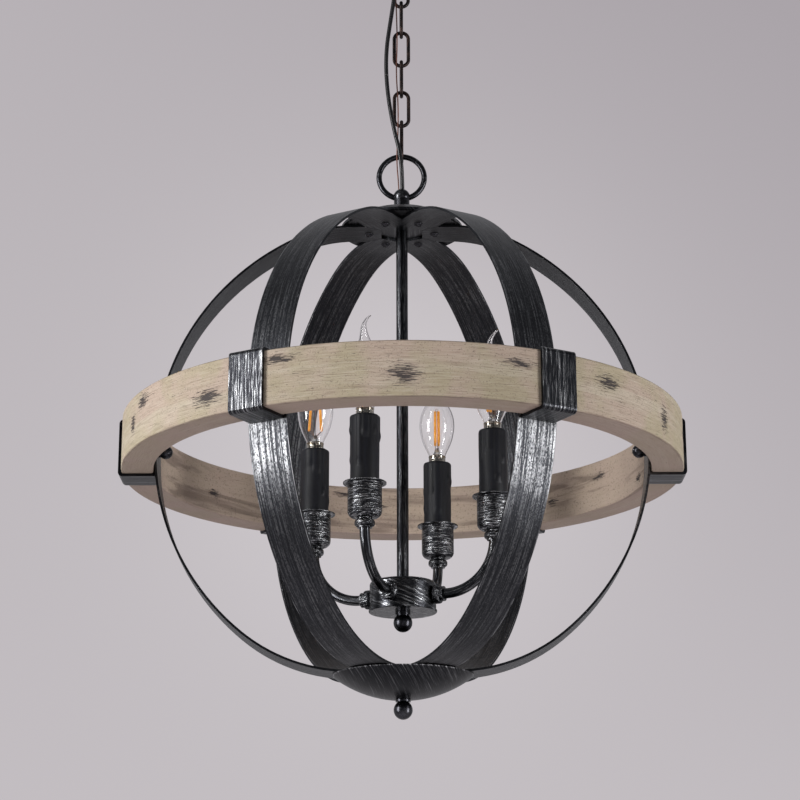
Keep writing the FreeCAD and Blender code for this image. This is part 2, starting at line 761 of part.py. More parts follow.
# ---------------------------------------------------------------- rod and hub

rod_foot = hub_top + 0.1
rod = cut_from("rod_tube", fused("rod_bar", [
    cylinder("rod_body", s.rod_radius, rod_foot, rod_top),
    cylinder("rod_spigot", s.spigot, spigot_low, rod_foot + s.weld),
]), [
    cylinder("rod_hole", s.rod_bore, rod_foot + s.rod_thick_end - s.weld, rod_top + 1.0),
    cylinder("rod_low_hole", s.spigot_bore, spigot_low - 1.0, rod_foot + s.rod_thick_end),
    block("rod_window", s.window_deep, s.window_wide, s.window_tall, s.window_deep * 0.45, 0.0,
          arm_high - s.window_tall / 2),
])
publish(rod, "rod")

hub = turned("hub", [
    (s.spigot + 0.2, hub_top),
    (s.spigot + 0.2, hub_top - s.hub_wall),
    (s.hub_radius - s.hub_wall, hub_top - s.hub_wall),
    (s.hub_radius - s.hub_wall, hub_low),
    (s.hub_radius, hub_low),
    (s.hub_radius, hub_top - s.hub_round),
    (s.hub_radius - s.hub_round, hub_top),
], {5: (s.hub_round, True)})
arm_hole_sketch = new_sketch(hub, "YZ_Plane", "hub_arm_profile")
ring_of(arm_hole_sketch, 0.0, arm_high, s.arm_tube + 0.2)
through(hub, arm_hole_sketch, "hub_arm_holes")
cross_hole_sketch = new_sketch(hub, "XZ_Plane", "hub_cross_profile")
ring_of(cross_hole_sketch, 0.0, arm_high, s.arm_tube + 0.2)
through(hub, cross_hole_sketch, "hub_cross_holes")
publish(hub, "hub_body", s.arm_turn)

cover_radius = s.hub_radius + s.cover_lip
cover = turned("cover", [
    (s.spigot + 0.2, cover_low),
    (cover_radius - 0.8, cover_low),
    (cover_radius, cover_low + 0.8),
    (cover_radius, cover_high),
    (s.spigot + 0.2, cover_high),
], {1: (dim(0.8), True)})
publish(cover, "hub_cover")
nut_top = hub_top - s.hub_wall - 0.15
hub_nut = cut_from("hub_hexagon", prism("hub_prism", 13.0, nut_top - 5.0, nut_top),
                   [cylinder("hub_nut_hole", s.spigot + 0.15, nut_top - 6.0, nut_top + 1.0)])
publish(hub_nut, "hub_nut")
hub_ball = cover_low - s.ball_radius - 1.0
finial_hub = cut_from("hub_finial_solid", fused("hub_finial_blank", [
    ball("hub_ball_solid", s.ball_radius, 0.0, 0.0, hub_ball),
    cylinder("hub_ball_collar", 7.0, cover_low - 2.4, cover_low - 0.15),
    cylinder("hub_ball_neck", 6.0, hub_ball, cover_low - 1.0),
]), [cylinder("hub_ball_hole", s.spigot + 0.15, spigot_low - 0.2, cover_low + 1.0)])
publish(finial_hub, "hub_finial")

# ---------------------------------------------------------------- arms

TO_XZ = FreeCAD.Rotation(V(1, 0, 0), 90)


def bent_tube(tag, wire):
    """A level run, a quarter bend and a rise, of one radius."""
    level = spoke(tag + "_level", wire, s.hub_radius - s.arm_in, s.arm_reach - s.arm_bend, arm_high)
    rise = cylinder(tag + "_rise", wire, arm_high + s.arm_bend, arm_top, s.arm_reach)
    bend = doc.addObject("Part::Torus", tag + "_bend")
    bind(bend, "Radius1", s.arm_bend)
    bind(bend, "Radius2", wire)
    bend.Angle3 = 90.0
    # the quarter ring stands in the X-Z plane and runs from straight down to straight out
    upright = FreeCAD.Rotation(V(1, 0, 0), V(0, 0, 1), V(0, -1, 0), "XZY")
    turn = FreeCAD.Rotation(V(0, 1, 0), 90)
    place(bend, s.arm_reach - s.arm_bend, 0.0, arm_high + s.arm_bend, turn.multiply(upright))
    return fused(tag, [level, bend, rise])


for k in range(4):
    tag = "arm_%d" % (k + 1)
    arm = cut_from(tag + "_tube", bent_tube(tag + "_outer", s.arm_tube),
                   [bent_tube(tag + "_inner", s.arm_bore)])
    publish(arm, tag, s.arm_turn + 90.0 * k)


def four(name, make):
    """Four of one piece, one at each arm, as one group."""
    members = []
    for k in range(4):
        member = make("%s_%d" % (name, k + 1))
        turn = s.arm_turn + 90.0 * k
        member.Placement = FreeCAD.Placement(V(0, 0, 0), FreeCAD.Rotation(Z_AXIS, turn.value))
        bind(member, "Placement.Rotation.Angle", turn, "deg")
        members.append(member)
    return group(name, members)


def outward_circle(radius):
    """Picks the round edges of one radius."""
    return lambda e: e.Closed and e.Curve.TypeId == "Part::GeomCircle" \
        and abs(e.Curve.Radius - radius) < 1e-4


def arm_collar(tag):
    """A rounded drum against the hub, with a step beyond it, round the arm."""
    foot = s.hub_radius + s.collar_play
    drum = spoke(tag + "_drum", s.drum_radius, foot, foot + s.drum_long, arm_high)
    soft = rounded(tag + "_soft", drum, NUMBER["drum_round"], outward_circle(NUMBER["drum_radius"]))
    step = spoke(tag + "_step", s.step_radius, foot + s.drum_long - s.weld / 2,
                 foot + s.drum_long + s.step_long, arm_high)
    bore = spoke(tag + "_bore", s.arm_tube + s.bore_play, s.hub_radius - 2.0,
                 foot + s.drum_long + s.step_long + 1.0, arm_high)
    return cut_from(tag, fused(tag + "_solid", [soft, step]), [bore])


publish(four("collars", arm_collar), "arm_collars")


def cup_neck(tag):
    """A rounded drum under the cup, between two steps, round the arm."""
    high = cup_low - s.collar_play
    low = high - s.neck_tall
    drum = cylinder(tag + "_drum", s.neck_radius, low + 1.3, high - 1.4, s.arm_reach)
    soft = rounded(tag + "_soft", drum, NUMBER["neck_round"], outward_circle(NUMBER["neck_radius"]))
    step = cylinder(tag + "_step", s.neck_step, low, high, s.arm_reach)
    bore = cylinder(tag + "_bore", s.arm_tube + s.bore_play, low - 1.0, cup_low + 1.0, s.arm_reach)
    return cut_from(tag, fused(tag + "_solid", [soft, step]), [bore])


publish(four("necks", cup_neck), "cup_necks")

# ---------------------------------------------------------------- candle cups, sleeves, holders


def socket_cup(tag):
    """A turned cup with a rounded bottom edge and a thin brim."""
    inner = s.cup_radius - s.cup_wall
    mouth = s.arm_tube + 0.2
    body = turned(tag, [
        (mouth, cup_low),
        (s.cup_radius - s.cup_round, cup_low),
        (s.cup_radius, cup_low + s.cup_round),
        (s.cup_radius, cup_high - s.brim_thick - 1.6),
        (s.cup_radius + 1.6, cup_high - s.brim_thick),
        (s.cup_brim, cup_high - s.brim_thick),
        (s.cup_brim, cup_high),
        (inner, cup_high),
        (inner, cup_low + s.cup_round),
        (s.cup_radius - s.cup_round, cup_low + s.cup_wall),
        (mouth, cup_low + s.cup_wall),
    ], {1: (s.cup_round, True), 3: (dim(1.6), False), 8: (s.cup_round - s.cup_wall, False)})
    body.Placement = FreeCAD.Placement(V(NUMBER["arm_reach"], 0, 0), FreeCAD.Rotation())
    bind(body, "Placement.Base.x", s.arm_reach)
    return group(tag, [body])


publish(four("cups", socket_cup), "socket_cups")

# the sleeve stands on the cup's rounded inner corner
corner_in = s.cup_round - s.cup_wall
corner_out = s.sleeve_radius - (s.cup_radius - s.cup_round)
sleeve_low = cup_low + s.cup_round - root(corner_in * corner_in - corner_out * corner_out) + 0.25

# wax runs: direction in degrees, height where the run ends, thickness against the usual
DRIPS = [
    [(15, 8.0, 1.0), (75, -6.0, 0.8), (140, 14.0, 1.1), (205, 0.0, 0.9), (262, 18.0, 1.0), (318, -11.0, 0.8)],
    [(40, 12.0, 1.1), (98, -3.0, 0.8), (160, 4.0, 1.0), (228, 17.0, 0.9), (283, -9.0, 1.0), (340, 9.0, 0.8)],
    [(5, -4.0, 0.9), (62, 15.0, 1.0), (120, 2.0, 1.1), (188, -12.0, 0.8), (246, 10.0, 1.0), (305, 19.0, 0.9)],
    [(28, 18.0, 0.9), (84, 3.0, 1.0), (150, -8.0, 0.9), (212, 13.0, 1.1), (270, -2.0, 0.8), (332, 6.0, 1.0)],
]
candle_number = [0]


def candle_sleeve(tag):
    """A tube with a rounded shoulder and a few runs of wax down its side."""
    shoulder = sleeve_high - s.sleeve_round
    inner = s.sleeve_radius - s.sleeve_wall
    tube = turned(tag + "_tube", [
        (inner, sleeve_low),
        (s.sleeve_radius, sleeve_low),
        (s.sleeve_radius, shoulder),
        (s.sleeve_mouth, sleeve_high),
        (s.sleeve_mouth, sleeve_high - s.sleeve_wall),
        (inner, shoulder),
    ], {2: (s.sleeve_round * 1.02, True)})
    tube.Placement = FreeCAD.Placement(V(NUMBER["arm_reach"], 0, 0), FreeCAD.Rotation())
    bind(tube, "Placement.Base.x", s.arm_reach)
    runs = []
    for i, (angle, low, wide) in enumerate(DRIPS[candle_number[0] % 4]):
        part = "%s_run_%d" % (tag, i + 1)
        out = s.sleeve_radius - s.drip_radius * 0.55 * wide
        x = s.arm_reach + out * math.cos(math.radians(angle))
        y = out * math.sin(math.radians(angle))
        runs.append(cylinder(part, s.drip_radius * wide, low, shoulder, x, y))
        runs.append(ball(part + "_end", s.drip_radius * wide, x, y, low))
        runs.append(ball(part + "_head", s.drip_radius * wide, x, y, shoulder))
    candle_number[0] += 1
    hollow = cylinder(tag + "_hollow", inner, sleeve_low, shoulder - 0.4, s.arm_reach)
    return cut_from(tag, fused(tag + "_waxed", [tube] + runs), [hollow])


publish(four("sleeves", candle_sleeve), "candle_sleeves")


holder_radius = s.sleeve_radius - s.sleeve_wall - s.holder_play
holder_floor = cap_foot - play


def lampholder(tag):
    body = cylinder(tag + "_body", holder_radius, holder_low, holder_high, s.arm_reach)
    bore = cylinder(tag + "_bore", s.cap_shell + s.cap_play, holder_floor, holder_high + 1.0, s.arm_reach)
    seat = cylinder(tag + "_seat", s.arm_tube + 0.2, holder_low - 1.0, arm_top + 0.3, s.arm_reach)
    return cut_from(tag, body, [bore, seat])


publish(four("holders", lampholder), "lampholders")

# ---------------------------------------------------------------- bulbs
# Flame-shaped glass: its lower part is turned, and its tip leans to one side.
# (height above the collar, radius, lean), for the standard 91 mm glass of 17.5 mm radius

GLASS = [
    (0.0, 6.9, 0.0), (5.0, 8.6, 0.0), (11.0, 12.8, 0.0), (17.0, 15.9, 0.0), (24.0, 17.5, 0.0),
    (33.0, 16.8, 0.0), (43.0, 13.8, 0.0), (53.0, 9.9, 0.1), (62.0, 6.6, 0.5), (70.0, 4.4, 1.2),
    (78.0, 3.0, 2.4), (85.0, 2.1, 4.3), (91.0, 1.1, 6.6),
]
FOOT = collar_high.value + 0.1
TALL = NUMBER["bulb_tall"] / 91.0
WIDE = NUMBER["bulb_radius"] / 17.5


def smooth_skin(stations):
    """A closed solid lofted through level circles."""
    wires = []
    for high, radius, lean in stations:
        circle = Part.Circle(V(lean, 0, high), Z_AXIS, radius)
        wires.append(Part.Wire([circle.toShape()]))
    return Part.makeLoft(wires, True, False)


def glass_shape():
    outer = [(FOOT + a * TALL, r * WIDE, b) for a, r, b in GLASS]
    wall = NUMBER["bulb_wall"]
    inner = [(FOOT + a * TALL, r * WIDE - wall, b) for a, r, b in GLASS[1:-1]]
    inner.insert(0, (FOOT + 1.2, 6.9 * WIDE - wall, 0.0))
    return smooth_skin(outer).cut(smooth_skin(inner))


LEANS = (35.0, -20.0, 60.0, 150.0)
reach = NUMBER["arm_reach"]
blank_glass = glass_shape()
for k in range(4):
    turn = NUMBER["arm_turn"] + 90.0 * k
    at = FreeCAD.Rotation(Z_AXIS, turn).multVec(V(reach, 0, 0))
    glass = doc.addObject("Part::Feature", "bulb_glass_%d" % (k + 1))
    glass.Shape = blank_glass.copy()
    glass.Label = glass.Name
    glass.Placement = FreeCAD.Placement(
        at + V(0, 0, -ring_drop.value), FreeCAD.Rotation(Z_AXIS, LEANS[k]))
    PIECES.append(glass)


def bulb_cap(tag):
    """The metal screw cap, its collar and the contact."""
    low = holder_floor + 0.2
    return fused(tag, [
        cylinder(tag + "_contact", 2.4, low, low + 2.0, s.arm_reach),
        cylinder(tag + "_ring", 5.0, low + 1.0, low + 3.0, s.arm_reach),
        cylinder(tag + "_shell", s.cap_shell, low + 2.6, collar_low + 0.5, s.arm_reach),
        cylinder(tag + "_collar", s.collar_radius, collar_low, collar_high, s.arm_reach),
    ])


def bulb_core(tag):
    """The glass stem, its wire and four lamp filaments round it."""
    low = FOOT + 1.4
    top = low + 8.5 + NUMBER["glow_long"]
    stem_cone = doc.addObject("Part::Cone", tag + "_stem")
    stem_cone.Radius1 = 5.2
    stem_cone.Radius2 = 2.2
    stem_cone.Height = 8.0
    place(stem_cone, s.arm_reach, 0.0, low)
    parts = [
        stem_cone,
        cylinder(tag + "_wire", 0.7, low + 7.0, top + 1.0, s.arm_reach),
        cylinder(tag + "_crown", 3.4, top, top + 0.8, s.arm_reach),
        cylinder(tag + "_foot", 4.6, low + 7.2, low + 8.0, s.arm_reach),
    ]
    for i in range(4):
        stick = doc.addObject("Part::Cylinder", "%s_glow_%d" % (tag, i + 1))
        stick.Radius = 0.9
        stick.Height = top - low - 7.2
        around = FreeCAD.Rotation(Z_AXIS, 45.0 + 90.0 * i)
        lean = FreeCAD.Rotation(V(0, 1, 0), -1.8)
        place(stick, s.arm_reach + around.multVec(V(3.7, 0, 0)).x,
              around.multVec(V(3.7, 0, 0)).y, low + 7.6, around.multiply(lean))
        parts.append(stick)
    return fused(tag, parts)


for k in range(4):
    publish(bulb_cap("cap_%d" % (k + 1)), "bulb_cap_%d" % (k + 1), s.arm_turn + 90.0 * k)
    publish(bulb_core("core_%d" % (k + 1)), "bulb_core_%d" % (k + 1), s.arm_turn + 90.0 * k)

# ---------------------------------------------------------------- fixture loop and chain

FACE_ON = FreeCAD.Rotation(V(1, 0, 0), 90)
EDGE_ON = FreeCAD.Rotation(Z_AXIS, 90).multiply(FACE_ON)
loop = cut_from("loop_solid", fused("loop_blank", [
    hoop("loop_ring", s.loop_mean, s.loop_wire, loop_mid, FACE_ON),
    ball("loop_bead", s.bead_radius, 0.0, 0.0, bead_mid),
    cylinder("loop_neck_solid", loop_neck, neck_low, bead_mid),
    cylinder("loop_flange_solid", loop_neck + s.flange_over, neck_low, neck_low + s.flange_tall),
]), [
    cylinder("loop_way", s.cable_way, rod_top, bead_mid + s.bead_radius + 1.0),
    cylinder("loop_bore", s.rod_radius + s.bore_play, neck_low - 1.0, rod_top + s.bore_play * 2),
])
publish(loop, "fixture_loop")


def chain_link(name, low, length, flat):
    """One link of round wire between the centres of its two ends."""
    bend_low = low + s.link_mean
    bend_high = low + length - s.link_mean
    lower = hoop(name + "_low", s.link_mean, s.link_wire, bend_low,
                 flat.multiply(FreeCAD.Rotation(Z_AXIS, 180)), 180.0)
    upper = hoop(name + "_high", s.link_mean, s.link_wire, bend_high, flat, 180.0)
    sides = []
    for sign in (1.0, -1.0):
        at = flat.multVec(V(sign, 0, 0))
        sides.append(cylinder("%s_side_%s" % (name, "a" if sign > 0 else "b"), s.link_wire,
                              bend_low, bend_high, s.link_mean * round(at.x),
                              s.link_mean * round(at.y)))
    return fused(name + "_solid", [lower, upper] + sides)


for k, link_end in enumerate(link_ends):
    name = "link_%d" % (k + 1)
    length = s.link_first if k == 0 else s.link_long
    publish(chain_link(name, link_end, length, EDGE_ON if k % 2 == 0 else FACE_ON), name)
    print("%s from %.2f to %.2f" % (name, link_end.value, (link_end + length).value))

# ---------------------------------------------------------------- ceiling fitting

hook = cut_from("hook_solid", fused("hook_blank", [
    hoop("hook_ring", s.hook_mean, s.hook_wire, hook_mid, EDGE_ON),
    cylinder("hook_collar_solid", s.hook_collar, hook_mid + s.hook_mean - 2.0, canopy_low - 0.1),
]), [cylinder("hook_bore", s.nipple + 0.15, hook_mid + s.hook_mean + 2.8, canopy_low + 1.0)])
publish(hook, "canopy_loop")
print("canopy loop centre %.2f" % hook_mid.value)

dome_start = ring_drop - s.canopy_skirt
dome_flat = s.canopy_floor
dome_run = s.canopy_radius - dome_flat
dome_sag = s.canopy_deep - s.canopy_skirt
dome_arc = (dome_run * dome_run + dome_sag * dome_sag) / (dome_sag * 2)
pipe_hole = s.nipple + 0.2
# where the two cords pass through the canopy's floor
CABLE_WAY = (-14.1, -7.96)
GROUND_WAY = (-9.33, -6.14)
dome = turned("dome", [
    (pipe_hole, canopy_low),
    (dome_flat, canopy_low),
    (s.canopy_radius, dome_start),
    (s.canopy_radius, ring_drop),
    (s.canopy_radius - s.canopy_wall, ring_drop),
    (s.canopy_radius - s.canopy_wall, dome_start),
    (dome_flat, canopy_low + s.canopy_wall),
    (pipe_hole, canopy_low + s.canopy_wall),
], {1: (dome_arc, True), 5: (dome_arc - s.canopy_wall * 0.6, False)})
ways = new_sketch(dome, "XY_Plane", "dome_ways_profile")
ring_of(ways, CABLE_WAY[0], CABLE_WAY[1], s.cable / 2 + 0.4)
ring_of(ways, GROUND_WAY[0], GROUND_WAY[1], s.ground / 2 + 0.35)
through(dome, ways, "dome_ways")
publish(dome, "canopy")

bar_low = ring_drop - s.bar_thick
bar = cut_from("bar_solid", block("bar_strip", s.bar_long, s.bar_wide, s.bar_thick, 0.0, 0.0, bar_low), [
    cylinder("bar_hole_a", s.bar_hole, bar_low - 1.0, ring_drop + 1.0, s.bar_holes / 2),
    cylinder("bar_hole_b", s.bar_hole, bar_low - 1.0, ring_drop + 1.0, -s.bar_holes / 2),
    cylinder("bar_hole_c", s.nipple + 0.1, bar_low - 1.0, ring_drop + 1.0),
])
publish(bar, "ceiling_bar")
pipe_low = hook_mid + s.hook_mean + 3.0
publish(cut_from("pipe_solid", cylinder("pipe_bar", s.nipple, pipe_low, ring_drop - 0.2),
                 [cylinder("pipe_bore", s.nipple - 1.4, pipe_low - 1.0, ring_drop + 1.0)]), "nipple")
lock = cut_from("lock_hexagon", prism("lock_prism", 16.0, bar_low - 5.1, bar_low - 0.1),
                [cylinder("lock_hole", s.nipple + 0.1, bar_low - 6.0, bar_low)])
publish(lock, "lock_nut")

# ---------------------------------------------------------------- cords
# The supply cable and the earth wire run from the rod, out of the loop's bead, past the chain
# and into the canopy. Each is straight runs joined by tangent arcs.


def cord(name, points, diameter):
    places = [V(*p) for p in points]
    edges = []
    here = places[0]
    radii = []
    for i in range(1, len(places) - 1):
        back = places[i - 1] - places[i]
        on = places[i + 1] - places[i]
        turn = math.pi - back.getAngle(on)
        cut = 0.45 * min(back.Length, on.Length)
        radius = cut / math.tan(turn / 2)
        radii.append(radius)
        back.normalize()
        on.normalize()
        first = places[i] + back * cut
        last = places[i] + on * cut
        middle = back + on
        middle.normalize()
        centre = places[i] + middle * (radius / math.cos(turn / 2))
        mid_point = centre - middle * radius
        edges.append(Part.LineSegment(here, first).toShape())
        edges.append(Part.Arc(first, mid_point, last).toShape())
        here = last
    edges.append(Part.LineSegment(here, places[-1]).toShape())
    path = Part.Wire(edges)
    start = places[1] - places[0]
    circle = Part.Circle(places[0], start, diameter / 2)
    tube = path.makePipeShell([Part.Wire([circle.toShape()])], True, True)
    if tube.ShapeType != "Solid":
        tube = tube.Solids[0]
    want = math.pi * diameter * diameter / 4 * path.Length
    runs = [(places[i + 1] - places[i]).Length for i in range(len(places) - 1)]
    print("%s length %.1f, radii %s, runs %s, volume %.4f of section by length" % (
        name, path.Length, ["%.0f" % r for r in radii], ["%.0f" % r for r in runs],
        tube.Volume / want))
    if abs(tube.Volume / want - 1.0) > 0.01:
        raise RuntimeError(name + " tube is not whole")
    obj = doc.addObject("Part::Feature", name)
    obj.Shape = tube
    obj.Label = name
    obj.Placement = FreeCAD.Placement(V(0, 0, -ring_drop.value), FreeCAD.Rotation())
    PIECES.append(obj)


CABLE_POINTS = [
    (0.8, 0.2, 268.0), (0.8, -0.3, 292.0), (-0.4, -11.7, 323.0), (-8.4, -11.2, 356.0),
    (-14.6, -8.0, 398.0), (-15.6, -7.0, 438.0), (-10.6, -6.8, 474.0), (-6.2, -7.2, 504.0),
    (-9.8, -7.8, 531.0), (-15.0, -8.0, 562.0),
]
GROUND_POINTS = [
    (-2.5, 0.0, 268.0), (-2.4, -0.2, 292.0), (-5.2, -5.2, 322.0), (-3.4, -3.8, 352.0),
    (-3.3, -3.4, 386.0), (-5.4, -3.7, 417.0), (-4.0, -3.4, 451.0), (-5.0, -3.7, 490.0),
    (-6.6, -4.6, 525.0), (-9.8, -6.4, 562.0),
]
cord("power_cable", CABLE_POINTS, NUMBER["cable"])
cord("ground_wire", GROUND_POINTS, NUMBER["ground"])

# ---------------------------------------------------------------- checks and files

doc.recompute()
for obj in doc.Objects:
    for word in ("Invalid", "Error"):
        if word in obj.State:
            raise RuntimeError("%s is %s" % (obj.Name, word))
for piece in PIECES:
    if piece.Shape.isNull() or not piece.Shape.isValid():
        raise RuntimeError("%s has no sound shape" % piece.Label)
os.makedirs("parts", exist_ok=True)
for piece in PIECES:
    piece.Shape.exportStep("parts/%s.step" % piece.Label)
print("%d pieces" % len(PIECES))
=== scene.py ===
"""The looks of an orb chandelier: six iron straps in a washed wooden ring round four candle bulbs.

Every place is in the frame's metres: +Z is up, the ceiling is at z 0 and -Y faces the camera.
"""
import math
import random

import bmesh
import bpy
from mathutils import Matrix, Vector


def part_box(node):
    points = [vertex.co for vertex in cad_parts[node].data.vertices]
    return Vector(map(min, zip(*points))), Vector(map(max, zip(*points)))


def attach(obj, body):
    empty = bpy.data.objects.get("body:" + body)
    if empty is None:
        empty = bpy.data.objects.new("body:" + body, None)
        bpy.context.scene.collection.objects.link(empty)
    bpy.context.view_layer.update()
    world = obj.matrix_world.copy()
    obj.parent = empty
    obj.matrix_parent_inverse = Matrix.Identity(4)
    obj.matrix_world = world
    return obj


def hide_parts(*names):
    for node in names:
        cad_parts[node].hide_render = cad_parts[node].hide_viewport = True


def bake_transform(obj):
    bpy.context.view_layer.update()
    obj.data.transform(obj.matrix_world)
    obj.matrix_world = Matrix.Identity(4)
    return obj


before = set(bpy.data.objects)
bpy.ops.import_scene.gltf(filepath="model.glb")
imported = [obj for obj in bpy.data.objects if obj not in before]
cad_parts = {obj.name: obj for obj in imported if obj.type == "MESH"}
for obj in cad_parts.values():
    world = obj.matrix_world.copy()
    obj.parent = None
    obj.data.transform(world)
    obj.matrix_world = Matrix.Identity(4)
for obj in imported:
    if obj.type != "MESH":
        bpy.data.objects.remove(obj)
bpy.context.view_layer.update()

MM = 0.001
ARMS = (1, 2, 3, 4)
STRAPS = (1, 2, 3, 4, 5, 6)
LINKS = (1, 2, 3, 4, 5, 6)
STRAP_STEP = math.radians(60)  # the straps stand this far apart round the globe
ARM_STEP = math.radians(90)  # and the arms this far apart round the hub

RING_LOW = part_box("wood_ring")[0][2]
RING_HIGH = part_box("wood_ring")[1][2]
RING_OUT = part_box("wood_ring")[1][0]
RING_IN = RING_OUT - 30 * MM
RING_MEAN = (RING_OUT + RING_IN) / 2


def above_ring(height):
    """The frame's height of a place given in millimetres above the ring's underside."""
    return RING_LOW + height * MM


def axis_of(node):
    """The middle of a node's box, seen from above."""
    low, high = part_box(node)
    return (low[0] + high[0]) / 2, (low[1] + high[1]) / 2


# ---------------------------------------------------------------- camera

CAMERA_PLACE = (-0.0008, -2.0288, -1.1134)
CAMERA_PITCH = math.radians(16.73)
CAMERA_YAW = math.radians(-0.04)
CAMERA_ROLL = -0.0025
CAMERA_LENS = 99.54
CAMERA_SENSOR = 36.0


def camera():
    """A long lens a little under the globe, looking up at it."""
    level = Vector((math.cos(CAMERA_YAW), -math.sin(CAMERA_YAW), 0))
    ahead = Vector((math.sin(CAMERA_YAW), math.cos(CAMERA_YAW), 0))
    forward = math.cos(CAMERA_PITCH) * ahead + Vector((0, 0, math.sin(CAMERA_PITCH)))
    upright = level.cross(forward)
    right = math.cos(CAMERA_ROLL) * level + math.sin(CAMERA_ROLL) * upright
    up = -math.sin(CAMERA_ROLL) * level + math.cos(CAMERA_ROLL) * upright
    data = bpy.data.cameras.new("camera")
    data.sensor_width = CAMERA_SENSOR
    data.lens = CAMERA_LENS
    data.clip_end = 60.0
    eye = bpy.data.objects.new("camera", data)
    bpy.context.scene.collection.objects.link(eye)
    turned = Matrix((right, up, -forward)).transposed().to_4x4()
    eye.matrix_world = Matrix.Translation(CAMERA_PLACE) @ turned
    bpy.context.scene.camera = eye


camera()


# ---------------------------------------------------------------- shared mesh tools


def add_piece(name, mesh, material):
    """A mesh in the row frame becomes a smooth piece with its material."""
    piece = bpy.data.objects.new(name, mesh)
    bpy.context.scene.collection.objects.link(piece)
    mesh.materials.append(material)
    for face in mesh.polygons:
        face.use_smooth = True
    return piece


def circle(count):
    """The angles of this many places round a circle."""
    return [2 * math.pi * k / count for k in range(count)]


def lattice(name, rows, caps=False):
    """A skin through closed rows of points, each row the same length, with or without its two ends."""
    build = bmesh.new()
    grid = [[build.verts.new(point) for point in row] for row in rows]
    count = len(rows[0])
    for low, high in zip(grid, grid[1:]):
        for k in range(count):
            build.faces.new((low[k], low[(k + 1) % count], high[(k + 1) % count], high[k]))
    if caps:
        build.faces.new(list(reversed(grid[0])))
        build.faces.new(grid[-1])
    bmesh.ops.recalc_face_normals(build, faces=build.faces)
    mesh = bpy.data.meshes.new(name)
    build.to_mesh(mesh)
    build.free()
    return mesh


def tube_rows(line, radii, sides=16):
    """Rings of points round a line, carried along it without twisting.

    radii is one length, or one for each point of the line.
    """
    rows = []
    across = Vector((1.0, 0.13, 0.07))
    for k, point in enumerate(line):
        ahead = line[min(k + 1, len(line) - 1)] - line[max(k - 1, 0)]
        ahead.normalize()
        across = (across - ahead * across.dot(ahead)).normalized()
        side = ahead.cross(across)
        radius = radii[k] if isinstance(radii, (list, tuple)) else radii
        rows.append([point + radius * (math.cos(a) * across + math.sin(a) * side) for a in circle(sides)])
    return rows


# ---------------------------------------------------------------- materials


def srgb(red, green, blue):
    """A colour as it is seen on a screen, from 0 to 255, in the linear values that a shader takes."""
    def linear(level):
        level = level / 255
        return level / 12.92 if level <= 0.04045 else ((level + 0.055) / 1.055) ** 2.4
    return (linear(red), linear(green), linear(blue), 1.0)


def dimmed(colour, share):
    """A colour with each of its levels at this share."""
    return [level * share for level in colour]


